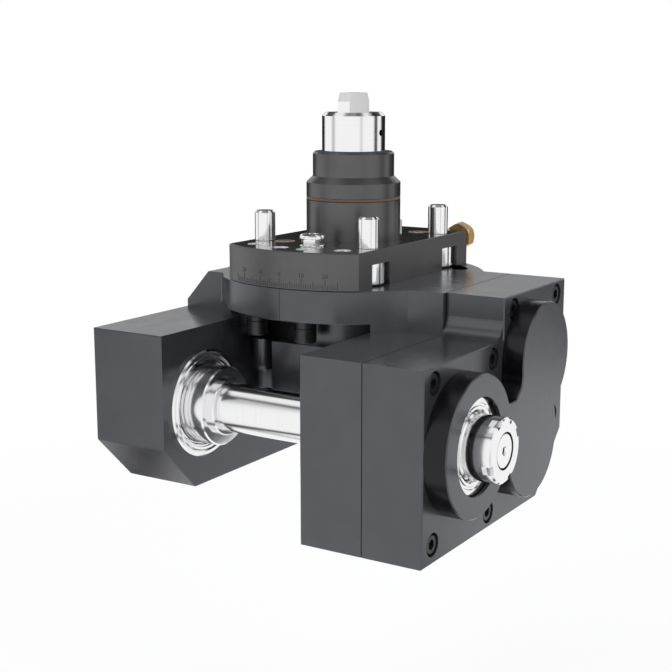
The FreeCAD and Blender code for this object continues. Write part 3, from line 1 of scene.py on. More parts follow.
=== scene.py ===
# %% [markdown]
# # A driven gear hobbing head
# The CAD model already has every solid part: shank, graduated flange, swivel head, fork arms, gears and
# arbor. This lesson gives those parts their finishes, engraves the degree scale, and sets up camera and
# light. Lengths are metres here, so 0.001 is one millimetre.

# %% Load the CAD model
import bpy
import math
from mathutils import Matrix, Vector


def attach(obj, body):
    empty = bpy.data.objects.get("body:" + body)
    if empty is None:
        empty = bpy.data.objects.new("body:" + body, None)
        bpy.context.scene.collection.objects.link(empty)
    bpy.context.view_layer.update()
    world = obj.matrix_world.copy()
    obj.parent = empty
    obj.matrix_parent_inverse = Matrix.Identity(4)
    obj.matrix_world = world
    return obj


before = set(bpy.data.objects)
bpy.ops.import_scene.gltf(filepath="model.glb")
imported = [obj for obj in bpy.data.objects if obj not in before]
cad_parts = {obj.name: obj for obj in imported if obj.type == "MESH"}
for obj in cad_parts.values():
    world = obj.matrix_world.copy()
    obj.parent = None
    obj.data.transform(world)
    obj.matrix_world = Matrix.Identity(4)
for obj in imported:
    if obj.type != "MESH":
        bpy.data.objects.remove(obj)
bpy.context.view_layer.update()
MM = 0.001
print("CAD nodes:", len(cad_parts))

# %% [markdown]
# ## The camera
# The photo was taken with a fairly long lens from the right front, a little above the arbor. Its place was
# worked out from the straight edges of the two arms, so the object fills the picture in the same way. A
# long lens is right for machine parts, because parallel edges stay nearly parallel.

# %% Camera
LENS_MM = 70.04
SENSOR_MM = 36.0
CAMERA_AT = (0.39794, -0.65608, 0.09170)
LOOKS_DOWN = 11.17
STANDS_ROUND = 32.0

camera_data = bpy.data.cameras.new("camera")
camera_data.lens = LENS_MM
camera_data.sensor_width = SENSOR_MM
camera = bpy.data.objects.new("camera", camera_data)
camera.location = CAMERA_AT
camera.rotation_euler = (math.radians(90 - LOOKS_DOWN), 0.0, math.radians(STANDS_ROUND))
bpy.context.scene.collection.objects.link(camera)
bpy.context.scene.camera = camera
print("camera lens", camera_data.lens)

# %% [markdown]
# ## Colours
# A colour picked from a screen is an sRGB hex value, while the renderer works with linear light. Blender
# would take the bare numbers as linear and show them too pale, so one function turns each hex value to
# linear first.

# %% Colours from hex values
def linear(code):
    """Linear RGBA from an sRGB hex value."""
    parts = [int(code[i:i + 2], 16) / 255 for i in (1, 3, 5)]
    return [c / 12.92 if c <= 0.04045 else ((c + 0.055) / 1.055) ** 2.4 for c in parts] + [1.0]


print("middle grey in linear light:", round(linear("#808080")[0], 3))

# %% [markdown]
# ## Nodes
# A material is a tree of nodes. They could be added one by one with a call for each setting and each link,
# but that is long to read. So one function adds a node, sets its properties and fills or links its inputs.
# The stops of a colour ramp are the one setting that can't be set by name, so the function fills them
# itself.

# %% Nodes with their settings and links
def fill_stops(ramp, stops):
    """Grey levels along a colour ramp, eased from stop to stop."""
    ramp.interpolation = "EASE"
    while len(ramp.elements) < len(stops):
        ramp.elements.new(0.5)
    for element, (place, level) in zip(ramp.elements, stops):
        element.position = place
        element.color = (level, level, level, 1.0)


def add(tree, kind, settings=None, inputs=None):
    """Adds a node, sets its properties, then fills or links its inputs."""
    item = tree.nodes.new(kind)
    for name, value in (settings or {}).items():
        if name == "stops":
            fill_stops(item.color_ramp, value)
        else:
            setattr(item, name, value)
    for name, value in (inputs or {}).items():
        socket = item.inputs[name]
        if isinstance(value, bpy.types.NodeSocket):
            tree.links.new(value, socket)
        else:
            socket.default_value = value
    return item


def start(name):
    """A new material and its empty node tree."""
    material = bpy.data.materials.new(name)
    material.use_nodes = True
    material.node_tree.nodes.clear()
    return material, material.node_tree


def finish_with(tree, shader):
    """Joins a shader to the material's output."""
    add(tree, "ShaderNodeOutputMaterial", None, {"Surface": shader.outputs[0]})


COLOUR_MIX = {"data_type": "RGBA"}
FIRST, SECOND = 6, 7
MIXED = 2
print("a colour mix takes its colours at", FIRST, "and", SECOND, "and gives the mix at", MIXED)

# %% [markdown]
# ## How coarse a pattern is
# Object coordinates are in metres, so the scale of a noise pattern is the number of its grains in a metre.
# It could be found by trying, but then it would fit one camera only. Here it comes from the grain's size in
# millimetres. Noise keeps near the middle of its range, so only the middle part is used to steer the gloss.

# %% Scale of a pattern
def per_metre(size):
    """How many grains of a size in millimetres lie in a metre, to the nearest ten."""
    return round(1 / (size * MM), -1)


NOISE_LOW, NOISE_HIGH = 0.3, 0.7
print("grains of 2 mm in a metre:", per_metre(2.0))

# %% [markdown]
# ## Blackened steel
# The housings are milled steel that has been blackened in a hot oxide bath. The layer is only a micrometre
# thick, so the milled surface still shows through: dark grey, softly glossy, and a bit uneven in tone. A
# plain dark plastic would look like paint. A metal shader with a dark colour is right, because its
# reflections keep the grey of the layer. The bath leaves clouds about 17 mm across. Its grain is far finer
# than a pixel, so it is drawn at 0.7 mm.

# %% Blackened steel
CLOUDS = per_metre(16.7)
OXIDE_GRAIN = per_metre(0.714)
OXIDE_METALLIC = 0.75


def oxide_clouds(tree, place, dark, light):
    """The uneven tone that the oxide bath leaves: the pattern and its colour."""
    cloud = add(tree, "ShaderNodeTexNoise", None,
                {"Vector": place, "Scale": CLOUDS, "Detail": 5.0, "Roughness": 0.6}).outputs["Fac"]
    tone = add(tree, "ShaderNodeMix", COLOUR_MIX,
               {"Factor": cloud, FIRST: linear(dark), SECOND: linear(light)}).outputs[MIXED]
    return cloud, tone


def blackened_steel(name, dark, light, rough_low, rough_high):
    """Milled steel from the oxide bath, with the bath's clouds and a fine grain."""
    material, tree = start(name)
    place = add(tree, "ShaderNodeTexCoord").outputs["Object"]
    cloud, tone = oxide_clouds(tree, place, dark, light)
    grain = add(tree, "ShaderNodeTexNoise", None,
                {"Vector": place, "Scale": OXIDE_GRAIN, "Detail": 2.0, "Roughness": 0.5}).outputs["Fac"]
    gloss = add(tree, "ShaderNodeMapRange", None,
                {"Value": cloud, "From Min": NOISE_LOW, "From Max": NOISE_HIGH,
                 "To Min": rough_low, "To Max": rough_high}).outputs[0]
    relief = add(tree, "ShaderNodeBump", None,
                 {"Height": grain, "Strength": 0.06, "Distance": 0.2 * MM}).outputs[0]
    shader = add(tree, "ShaderNodeBsdfPrincipled", None,
                 {"Base Color": tone, "Roughness": gloss, "Metallic": OXIDE_METALLIC, "Normal": relief})
    finish_with(tree, shader)
    return material


OXIDE = ("#515256", "#5f6064")
OXIDE_ROUGH = (0.21, 0.28)
housing_finish = blackened_steel("blackened_steel", *OXIDE, *OXIDE_ROUGH)
screw_finish = blackened_steel("blackened_screw_steel", "#38383a", "#444446", 0.26, 0.36)
print("made", housing_finish.name, "and", screw_finish.name)

# %% [markdown]
# ## Painted highlights in the thread mouths
# The threads in the top of the flange are countersunk, and the chamfers of their mouths catch the light. The
# mesh has plain holes, so that light is painted on as a bright steel colour. The rings could be cut out of
# the mesh and get their own material, but the CAD mesh stays as it is. So the painted highlights are circles
# round the threads' centres, on the upper millimetre only. The threads lie on one circle round the shank.
# Their angles are in degrees, from X towards Y.

# %% Painted highlights in the thread mouths
THREAD_REACH = 65.0 * MM
THREADS_AT = (-115.9, -97.3, -82.7, -64.1, 64.1, 115.9)
MOUTH_R = 5.2 * MM
MOUTH_DEEP = 0.95 * MM


def bare_spots(tree, place):
    """1 inside the thread mouths, where a highlight is painted, and 0 elsewhere."""
    flat = add(tree, "ShaderNodeVectorMath", {"operation": "MULTIPLY"},
               {0: place, 1: (1.0, 1.0, 0.0)}).outputs[0]
    nearest = None
    for angle in THREADS_AT:
        turn = math.radians(angle)
        centre = (THREAD_REACH * math.cos(turn), THREAD_REACH * math.sin(turn), 0.0)
        gap = add(tree, "ShaderNodeVectorMath", {"operation": "DISTANCE"},
                  {0: flat, 1: centre}).outputs["Value"]
        if nearest is None:
            nearest = gap
        else:
            nearest = add(tree, "ShaderNodeMath", {"operation": "MINIMUM"}, {0: nearest, 1: gap}).outputs[0]
    inside = add(tree, "ShaderNodeMath", {"operation": "LESS_THAN"}, {0: nearest, 1: MOUTH_R}).outputs[0]
    height = add(tree, "ShaderNodeSeparateXYZ", None, {"Vector": place}).outputs["Z"]
    near_top = add(tree, "ShaderNodeMath", {"operation": "GREATER_THAN"},
                   {0: height, 1: -MOUTH_DEEP}).outputs[0]
    return add(tree, "ShaderNodeMath", {"operation": "MULTIPLY"}, {0: inside, 1: near_top}).outputs[0]


print("bare thread mouths:", len(THREADS_AT))

# %% [markdown]
# ## Blackened steel of the flange
# The flange is ground flat on top, where it is clamped to the turret, and blackened after that. So its top
# is much smoother than its sides and mirrors the room. Two materials on two sets of faces would do it as
# well, but one material that follows the surface normal needs no cut in the mesh.

# %% Blackened steel of the flange
TOP_FROM, TOP_TO = 0.90, 0.98
SIDE_ROUGH, TOP_ROUGH = 0.34, 0.06


def flange_steel(name, dark, light, painted_shine):
    """Blackened steel that is ground smooth on top, with a painted highlight in the thread mouths."""
    material, tree = start(name)
    texture = add(tree, "ShaderNodeTexCoord")
    place = texture.outputs["Object"]
    cloud, tone = oxide_clouds(tree, place, dark, light)
    upward = add(tree, "ShaderNodeSeparateXYZ", None, {"Vector": texture.outputs["Normal"]}).outputs["Z"]
    gloss = add(tree, "ShaderNodeMapRange", None,
                {"Value": upward, "From Min": TOP_FROM, "From Max": TOP_TO,
                 "To Min": SIDE_ROUGH, "To Max": TOP_ROUGH}).outputs[0]
    colour = add(tree, "ShaderNodeMix", COLOUR_MIX,
                 {"Factor": bare_spots(tree, place), FIRST: tone, SECOND: linear(painted_shine)}).outputs[MIXED]
    shader = add(tree, "ShaderNodeBsdfPrincipled", None,
                 {"Base Color": colour, "Roughness": gloss, "Metallic": 0.92})
    finish_with(tree, shader)
    return material


# e6e7e8 is the highlight painted into the thread mouths.
flange_finish = flange_steel("blackened_ground_steel", "#5b5b5c", "#686869", "#e6e7e8")
print("made", flange_finish.name)

# %% [markdown]
# ## Blackened steel of the gear cover
# The walls of the cover's raised boss get a painted shade, so they are darker than the faces that look
# outwards. The chamfer between them keeps nearly the faces' tone, so it stands out against the shaded walls.
# Again one material does both: the tone follows the normal, beyond the plane of the cover's outer face.

# %% Blackened steel of the gear cover
COVER_FACE_X = 117.8 * MM
FACE_PLAY = 0.1 * MM
WALL_TO, FACE_FROM = 0.35, 0.75


def boss_walls(tree, place, normal):
    """1 on the walls of the raised boss, where shade is painted, and 0 elsewhere."""
    outward = add(tree, "ShaderNodeSeparateXYZ", None, {"Vector": normal}).outputs["X"]
    sideways = add(tree, "ShaderNodeMapRange", None,
                   {"Value": outward, "From Min": WALL_TO, "From Max": FACE_FROM,
                    "To Min": 1.0, "To Max": 0.0}).outputs[0]
    along = add(tree, "ShaderNodeSeparateXYZ", None, {"Vector": place}).outputs["X"]
    on_boss = add(tree, "ShaderNodeMath", {"operation": "GREATER_THAN"},
                  {0: along, 1: COVER_FACE_X + FACE_PLAY}).outputs[0]
    return add(tree, "ShaderNodeMath", {"operation": "MULTIPLY"}, {0: sideways, 1: on_boss}).outputs[0]


def cover_steel(name, dark, light, wall, rough_low, rough_high):
    """Blackened steel with a painted shade on its boss walls, darker than its faces."""
    material, tree = start(name)
    texture = add(tree, "ShaderNodeTexCoord")
    place = texture.outputs["Object"]
    cloud, tone = oxide_clouds(tree, place, dark, light)
    # walls is the mask of the painted shade on the boss walls.
    walls = boss_walls(tree, place, texture.outputs["Normal"])
    colour = add(tree, "ShaderNodeMix", COLOUR_MIX,
                 {"Factor": walls, FIRST: tone, SECOND: linear(wall)}).outputs[MIXED]
    gloss = add(tree, "ShaderNodeMapRange", None,
                {"Value": cloud, "From Min": NOISE_LOW, "From Max": NOISE_HIGH,
                 "To Min": rough_low, "To Max": rough_high}).outputs[0]
    shader = add(tree, "ShaderNodeBsdfPrincipled", None,
                 {"Base Color": colour, "Roughness": gloss, "Metallic": OXIDE_METALLIC})
    finish_with(tree, shader)
    return material


# 262629 is the painted shade on the boss walls.
cover_finish = cover_steel("blackened_cover_steel", *OXIDE, "#262629", *OXIDE_ROUGH)
print("made", cover_finish.name)

# %% [markdown]
# ## The arbor's thread end
# The end of the arbor's thread shows inside the nut. Its rim and the centre hole lie in shadow, which is
# painted on as a dark tone, while the ring between them is ground bright. A painted picture could show that,
# but two circles round the spindle's axis, beyond the plane of the tip, are exact and need no file.

# %% Thread end of the arbor
SPINDLE_AT = (0.0, -94.0 * MM, -86.0 * MM)
TIP_X = 141.6 * MM
RIM_R = 8.4 * MM
CENTRE_R = 1.9 * MM
# The shade painted on the thread's rim and in its centre hole.
PAINTED_GAP_SHADE = "#2c2c2e"


def thread_end(tree, place):
    """1 on the arbor's threaded rim and in its centre hole, where shade is painted, and 0 elsewhere."""
    offset = add(tree, "ShaderNodeVectorMath", {"operation": "SUBTRACT"},
                 {0: place, 1: SPINDLE_AT}).outputs[0]
    flat = add(tree, "ShaderNodeVectorMath", {"operation": "MULTIPLY"},
               {0: offset, 1: (0.0, 1.0, 1.0)}).outputs[0]
    reach = add(tree, "ShaderNodeVectorMath", {"operation": "LENGTH"}, {0: flat}).outputs["Value"]
    rim = add(tree, "ShaderNodeMath", {"operation": "GREATER_THAN"}, {0: reach, 1: RIM_R}).outputs[0]
    hole = add(tree, "ShaderNodeMath", {"operation": "LESS_THAN"}, {0: reach, 1: CENTRE_R}).outputs[0]
    either = add(tree, "ShaderNodeMath", {"operation": "MAXIMUM"}, {0: rim, 1: hole}).outputs[0]
    along = add(tree, "ShaderNodeSeparateXYZ", None, {"Vector": place}).outputs["X"]
    at_tip = add(tree, "ShaderNodeMath", {"operation": "GREATER_THAN"}, {0: along, 1: TIP_X}).outputs[0]
    return add(tree, "ShaderNodeMath", {"operation": "MULTIPLY"}, {0: either, 1: at_tip}).outputs[0]


print("dark outside", round(RIM_R / MM, 1), "mm and inside", round(CENTRE_R / MM, 1), "mm")

# %% [markdown]
# ## Ground steel
# The arbor, rings, nut, bolts and coupling are hardened steel, ground bright. A grinding wheel leaves very
# fine rings round a turned part. Modelled grooves would be far too many. Here they are a noise pattern that
# changes fast along the part's axis and slowly round it, drawn 0.4 mm apart so that they show at all.

# %% Ground steel
RINGS = per_metre(0.417)
ROUND = per_metre(16.7)
STRETCH = {"x": (RINGS, ROUND, ROUND), "z": (ROUND, ROUND, RINGS)}


def ground_steel(name, axis, low, high, rough_low, rough_high, shade=None):
    """Bright steel with fine grinding rings round an axis, and dark where shade says so."""
    material, tree = start(name)
    place = add(tree, "ShaderNodeTexCoord").outputs["Object"]
    along = add(tree, "ShaderNodeMapping", None, {"Vector": place, "Scale": STRETCH[axis]}).outputs[0]
    rings = add(tree, "ShaderNodeTexNoise", None,
                {"Vector": along, "Scale": 1.0, "Detail": 3.0, "Roughness": 0.55}).outputs["Fac"]
    tone = add(tree, "ShaderNodeMix", COLOUR_MIX,
               {"Factor": rings, FIRST: linear(low), SECOND: linear(high)}).outputs[MIXED]
    gloss = add(tree, "ShaderNodeMapRange", None,
                {"Value": rings, "From Min": NOISE_LOW, "From Max": NOISE_HIGH,
                 "To Min": rough_low, "To Max": rough_high}).outputs[0]
    relief = add(tree, "ShaderNodeBump", None,
                 {"Height": rings, "Strength": 0.02, "Distance": 0.05 * MM}).outputs[0]
    if shade:
        tone = add(tree, "ShaderNodeMix", COLOUR_MIX,
                   {"Factor": shade(tree, place), FIRST: tone, SECOND: linear(PAINTED_GAP_SHADE)}).outputs[MIXED]
    shader = add(tree, "ShaderNodeBsdfPrincipled", None,
                 {"Base Color": tone, "Roughness": gloss, "Metallic": 1.0, "Normal": relief})
    finish_with(tree, shader)
    return material


BRIGHT = ("#ebebec", "#f9f9fa", 0.11, 0.16)
HOBBED = ("#8d9095", "#a9acb0", 0.24, 0.36)
arbor_finish = ground_steel("ground_steel_along_arbor", "x", *BRIGHT)
tip_finish = ground_steel("ground_steel_with_thread", "x", *BRIGHT, thread_end)
shank_finish = ground_steel("ground_steel_along_shank", "z", *BRIGHT)
gear_x_finish = ground_steel("gear_steel_cross", "x", *HOBBED)
gear_z_finish = ground_steel("gear_steel_upright", "z", *HOBBED)
bearing_finish = ground_steel("bearing_steel", "x", "#a8abb0", "#c6c9cd", 0.16, 0.26)
print("rings in a metre:", RINGS)

# %% [markdown]
# ## Brass, rubber and gasket
# The coolant fitting is turned brass, dulled a little by air. The seals are oil-proof rubber: brown
# fluorocarbon on the shank and ports, blue at the drive shaft. Rubber is no metal, so its colour comes from
# light that is scattered, and the blue one is rough enough to keep the white room out of it. The gasket is
# pressed fibre. One function makes them all, as they differ only in colour, gloss and grain. The grain of
# turned brass is drawn at 2 mm and the others at about 1 mm, which is coarser than the real grain, so that
# it shows.

# %% Brass, rubber and gasket
def plain_grain(name, low, high, scale, rough_low, rough_high, metallic, bump):
    """A surface whose tone, gloss and relief follow one even grain."""
    material, tree = start(name)
    place = add(tree, "ShaderNodeTexCoord").outputs["Object"]
    grain = add(tree, "ShaderNodeTexNoise", None,
                {"Vector": place, "Scale": scale, "Detail": 4.0, "Roughness": 0.55}).outputs["Fac"]
    tone = add(tree, "ShaderNodeMix", COLOUR_MIX,
               {"Factor": grain, FIRST: linear(low), SECOND: linear(high)}).outputs[MIXED]
    gloss = add(tree, "ShaderNodeMapRange", None,
                {"Value": grain, "From Min": NOISE_LOW, "From Max": NOISE_HIGH,
                 "To Min": rough_low, "To Max": rough_high}).outputs[0]
    relief = add(tree, "ShaderNodeBump", None,
                 {"Height": grain, "Strength": bump, "Distance": 0.2 * MM}).outputs[0]
    shader = add(tree, "ShaderNodeBsdfPrincipled", None,
                 {"Base Color": tone, "Roughness": gloss, "Metallic": metallic, "Normal": relief})
    finish_with(tree, shader)
    return material


TURNED = per_metre(2.0)
MOULDED = per_metre(1.11)
PRESSED = per_metre(0.833)
brass_finish = plain_grain("turned_brass", "#dcb070", "#f0cb8e", TURNED, 0.26, 0.38, 1.0, 0.05)
brown_rubber = plain_grain("brown_fluorocarbon_rubber", "#5e4838", "#6e5444", MOULDED, 0.40, 0.55, 0.0, 0.10)
black_rubber = plain_grain("black_nitrile_rubber", "#1c1c1d", "#29292a", MOULDED, 0.45, 0.60, 0.0, 0.10)
blue_rubber = plain_grain("blue_seal_rubber", "#0a3140", "#0e4152", MOULDED, 0.70, 0.85, 0.0, 0.08)
gasket_finish = plain_grain("pressed_fibre_gasket", "#1b1b1c", "#262627", PRESSED, 0.60, 0.75, 0.0, 0.20)
scale_ink = plain_grain("engraved_scale", "#343538", "#404144", MOULDED, 0.50, 0.60, 0.4, 0.05)
print("finishes so far:", len(bpy.data.materials))

# %% [markdown]
# ## Each part gets its finish
# The parts keep their CAD meshes, because those have the real sizes of the milled and turned parts. Only
# the material in their slot is changed. Upright turned parts get rings round Z, and parts on the arbor
# rings round X.

# %% Give the CAD parts their finishes
FINISHES = {
    "shank_flange": flange_finish, "swivel_head": housing_finish, "support_block": housing_finish,
    "gear_cover": cover_finish, "support_cap": housing_finish, "coolant_jet": housing_finish,
    "support_screws": screw_finish, "support_cap_screws": screw_finish, "cover_screws": screw_finish,
    "clamp_screws": screw_finish, "clamp_washers": screw_finish, "mounting_bolts": shank_finish,
    "coolant_nipple": shank_finish, "port_plugs": shank_finish, "index_pin": shank_finish,
    "drive_coupling": shank_finish, "drive_shaft": gear_z_finish, "shaft_spacer": gear_z_finish,
    "input_bevel": gear_z_finish, "support_ring": arbor_finish, "support_collar": arbor_finish,
    "support_nut": arbor_finish, "hob_arbor": tip_finish, "arbor_nut": arbor_finish,
    "face_ring": arbor_finish, "spindle_sleeve": arbor_finish, "cross_bevel": gear_x_finish,
    "cross_shaft": gear_x_finish, "cross_pinion": gear_x_finish, "idler_shaft": gear_x_finish,
    "idler_gear": gear_x_finish, "spindle_gear": gear_x_finish, "cover_dowels": gear_x_finish,
    "drive_bearings": bearing_finish, "cross_bearings": bearing_finish, "idler_bearings": bearing_finish,
    "spindle_bearings": bearing_finish, "support_bearing": bearing_finish, "coolant_fitting": brass_finish,
    "shank_ring": brown_rubber, "port_seals": brown_rubber, "nose_seal": black_rubber,
    "shaft_seal": blue_rubber, "cover_gasket": gasket_finish,
}
for name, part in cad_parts.items():
    part.data.materials.clear()
    part.data.materials.append(FINISHES[name])
print("finished parts:", len(FINISHES))

# %% [markdown]
# ## Helpers for modelling
# New pieces are made with operators, as by hand. An operator acts on all that is selected, so each step
# starts with nothing selected. A finished piece has its place in its mesh and its object at the origin, as
# the CAD parts have, so that a pattern doesn't slide when the model is exported.

# %% Helpers for modelling
def deselect():
    """Leaves edit mode and selects nothing."""
    if bpy.context.object and bpy.context.object.mode != "OBJECT":
        bpy.ops.object.mode_set(mode="OBJECT")
    bpy.ops.object.select_all(action="DESELECT")


def settle(piece):
    """Puts the piece's place into its mesh, so that its object sits at the origin."""
    bpy.context.view_layer.update()
    piece.data.transform(piece.matrix_world)
    piece.matrix_world = Matrix.Identity(4)


def join(pieces, name):
    """Joins meshes into one piece."""
    deselect()
    for piece in pieces:
        piece.select_set(True)
    bpy.context.view_layer.objects.active = pieces[0]
    bpy.ops.object.join()
    pieces[0].name = name
    pieces[0].data.name = name
    return pieces[0]


def copy_turned(piece, degrees):
    """A copy with its own mesh, turned about the swivel axis."""
    twin = piece.copy()
    twin.data = piece.data.copy()
    twin.data.transform(Matrix.Rotation(math.radians(degrees), 4, "Z"))
    bpy.context.scene.collection.objects.link(twin)
    return twin


deselect()
print("selected before modelling:", len(bpy.context.selected_objects))

# %% [markdown]
# ## The degree scale
# The flange's front edge carries a scale in degrees, from 25 on one side to 25 on the other, with longer
# lines at every fifth and tenth. On the real part they are cut by a small graver and stay dark. A texture
# could carry them, but geometry stays sharp from near by. Each line here starts as a cube, has its outer
# face inset and pushed in to make a shallow groove, and is then copied round the edge of the flange.

# %% Scale lines
FLANGE_R = 77.5 * MM
FLANGE_LOW = -20.3 * MM
LINE_WIDE = 0.34 * MM
LINE_PROUD = 0.05 * MM
LINE_RIM = 0.08 * MM
GROOVE_SHARE = 0.7
OUTWARD = -0.9


def scale_line(low, high, radius):
    """One engraved line at the front of a round edge."""
    deselect()
    bpy.ops.mesh.primitive_cube_add(size=1.0, location=(0.0, -radius, (low + high) / 2))
    line = bpy.context.object
    line.dimensions = (LINE_WIDE, 2 * LINE_PROUD, high - low)
    bpy.ops.object.transform_apply(location=True, rotation=False, scale=True)
    bpy.ops.object.mode_set(mode="EDIT")
    bpy.ops.mesh.select_mode(type="FACE")
    bpy.ops.mesh.select_all(action="DESELECT")
    bpy.ops.object.mode_set(mode="OBJECT")
    for face in line.data.polygons:
        face.select = face.normal.y < OUTWARD
    bpy.ops.object.mode_set(mode="EDIT")
    bpy.ops.mesh.inset(thickness=LINE_RIM)
    bpy.ops.transform.translate(value=(0.0, GROOVE_SHARE * LINE_PROUD, 0.0))
    bpy.ops.object.mode_set(mode="OBJECT")
    return line


SCALE_END = 25
SCALE_FOOT = FLANGE_LOW + 0.5 * MM
line_heights = {1: 2.6 * MM, 5: 4.0 * MM, 10: 5.4 * MM}
masters = {}
for step, high in line_heights.items():
    masters[step] = scale_line(SCALE_FOOT, SCALE_FOOT + high, FLANGE_R)
lines = []
for degree in range(-SCALE_END, SCALE_END + 1):
    step = 10 if degree % 10 == 0 else 5 if degree % 5 == 0 else 1
    lines.append(copy_turned(masters[step], degree))
for master in masters.values():
    bpy.data.objects.remove(master)
scale_lines = join(lines, "scale_lines")
scale_lines.data.materials.append(scale_ink)
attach(scale_lines, "base")
print("scale lines:", len(lines))

# %% [markdown]
# ## The scale's numbers
# Every tenth degree has its number above the line, in plain figures as a graver cuts them. They could be
# drawn stroke by stroke, but a text object is the simplest start: it is given a small depth, made a mesh,
# stood upright and turned to its place. It has to be a mesh before its place is applied.

# %% Scale numbers
NUMBER_HIGH = 3.4 * MM
NUMBER_FOOT = FLANGE_LOW + 6.6 * MM


def number(text, degrees, low):
    """A figure standing on the front edge of the flange, turned to its place."""
    deselect()
    bpy.ops.object.text_add(location=(0.0, 0.0, 0.0))
    figure = bpy.context.object
    figure.data.body = text
    figure.data.size = NUMBER_HIGH
    figure.data.align_x = "CENTER"
    figure.data.extrude = LINE_PROUD
    bpy.ops.object.convert(target="MESH")
    figure = bpy.context.object
    stand = Matrix.Rotation(math.radians(90), 4, "X")
    move = Matrix.Translation((0.0, -FLANGE_R, low))
    figure.data.transform(Matrix.Rotation(math.radians(degrees), 4, "Z") @ move @ stand)
    return figure


figures = [number(str(abs(degree)), degree, NUMBER_FOOT) for degree in range(-20, 21, 10)]
scale_numbers = join(figures, "scale_numbers")
scale_numbers.data.materials.clear()
scale_numbers.data.materials.append(scale_ink)
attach(scale_numbers, "base")
print("scale numbers:", len(figures))

# %% [markdown]
# ## The index line
# One long line on the disc of the swivel head points at the scale, so that the angle of the head can be
# read. It is made as the scale's lines are, only longer, and it rides on the head, so that it turns with
# it.

# %% Index line on the swivel head
DISC_LOW = -38.3 * MM
DISC_TOP = -20.6 * MM
index_line = scale_line(DISC_LOW, DISC_TOP, FLANGE_R)
index_line.name = "index_line"
index_line.data.materials.append(scale_ink)
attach(index_line, "head")
print("index line:", round((DISC_TOP - DISC_LOW) / MM, 1), "mm")

# %% [markdown]
# ## Directions in the room
# Bright steel has no colour of its own: it shows the room. So the room matters most here. Real cards and
# panels could be set up round the object, but a pattern of directions is simpler and has no noise. Its
# angles are given in degrees: round the object from X towards Y, and up from the horizon. A colour ramp
# works from 0 to 1, so both are turned to shares of their range, with 0 degrees in the middle.

# %% Directions in the room
FULL_TURN = 360
FULL_RISE = 180


def share(degrees, full):
    """An angle as a share of its range."""
    return degrees / full + 0.5


def shares(stops, full):
    """The stops of a ramp, from degrees to shares."""
    return [(share(degrees, full), level) for degrees, level in stops]


def directions(tree, way):
    """How far round and how far up a direction points, both as shares."""
    unit = add(tree, "ShaderNodeVectorMath", {"operation": "NORMALIZE"}, {0: way}).outputs[0]
    split = add(tree, "ShaderNodeSeparateXYZ", None, {"Vector": unit})
    turn = add(tree, "ShaderNodeMath", {"operation": "ARCTAN2"},
               {0: split.outputs["Y"], 1: split.outputs["X"]}).outputs[0]
    turn = add(tree, "ShaderNodeMapRange", None,
               {"Value": turn, "From Min": -math.pi, "From Max": math.pi}).outputs[0]
    rise = add(tree, "ShaderNodeMath", {"operation": "ARCSINE"}, {0: split.outputs["Z"]}).outputs[0]
    rise = add(tree, "ShaderNodeMapRange", None,
               {"Value": rise, "From Min": -math.pi / 2, "From Max": math.pi / 2}).outputs[0]
    return turn, rise


print("45 degrees round is a share of", share(45, FULL_TURN))

# %% [markdown]
# ## The dark wall behind the object
# A dark wall far behind the object draws the dark edges of the shank and the coupling. A steel part on a
# white ground would lose its edges without it. The wall has a window a little above the horizon, between
# its sill and the dark part over it. The tops of the arms mirror the window. The flange's top is nearer to
# the camera's height, so it mirrors the dark sill. Below its foot the wall ends and the floor is light
# again.

# %% Wall behind the object
DARK_WALL = [(-180, 1.0), (53.28, 1.0), (68.4, 0.015), (166.32, 0.015), (175.68, 1.0), (180, 1.0)]
OVER_WINDOW = [(-90, 1.0), (22.5, 1.0), (31.5, 0.05), (60.3, 0.05), (70.2, 1.0), (90, 1.0)]
SILL_FROM, SILL_TO = 7.38, 10.08
FOOT_FROM, FOOT_TO = -11.52, -17.1


def wall_level(tree, turn, rise):
    """The wall behind the object: dark, but for its window and below its foot."""
    dark = add(tree, "ShaderNodeValToRGB", {"stops": shares(DARK_WALL, FULL_TURN)},
               {"Fac": turn}).outputs["Color"]
    over = add(tree, "ShaderNodeValToRGB", {"stops": shares(OVER_WINDOW, FULL_RISE)},
               {"Fac": rise}).outputs["Color"]
    sill = add(tree, "ShaderNodeMapRange", {"interpolation_type": "SMOOTHSTEP"},
               {"Value": rise, "From Min": share(SILL_FROM, FULL_RISE),
                "From Max": share(SILL_TO, FULL_RISE)}).outputs[0]
    foot = add(tree, "ShaderNodeMapRange", {"interpolation_type": "SMOOTHSTEP"},
               {"Value": rise, "From Min": share(FOOT_FROM, FULL_RISE),
                "From Max": share(FOOT_TO, FULL_RISE)}).outputs[0]
    window = add(tree, "ShaderNodeMath", {"operation": "MULTIPLY"}, {0: sill, 1: over}).outputs[0]
    light = add(tree, "ShaderNodeMath", {"operation": "MAXIMUM"}, {0: window, 1: foot}).outputs[0]
    return add(tree, "ShaderNodeMath", {"operation": "MAXIMUM"}, {0: dark, 1: light}).outputs[0]


print("the wall is dark from", DARK_WALL[2][0], "to", DARK_WALL[3][0], "degrees")

# %% [markdown]
# ## The room that steel sees
# The rest of the room is a ring of soft white panels with thin dark gaps, which draw the dark stripes along
# the round parts. Gaps round the object stripe the upright parts, and gaps above each other stripe the
# arbor. The low gap is left out behind the object, and the ceiling is grey.

# %% The room that steel sees
GAPS_ROUND = [(-180, 1.0), (-149.4, 1.0), (-137.52, 0.50), (-126.0, 1.0), (-39.6, 1.0), (-30.6, 0.72),
              (-21.6, 1.0), (16.92, 1.0), (27.72, 0.06), (33.12, 0.06), (43.2, 1.0), (180, 1.0)]
GAPS_HIGH = [(-90, 1.0), (-59.4, 1.0), (-52.92, 0.06), (-46.44, 1.0), (40.5, 1.0), (46.98, 0.10),
             (53.46, 0.95), (66.6, 0.95), (77.4, 0.30), (90, 0.30)]


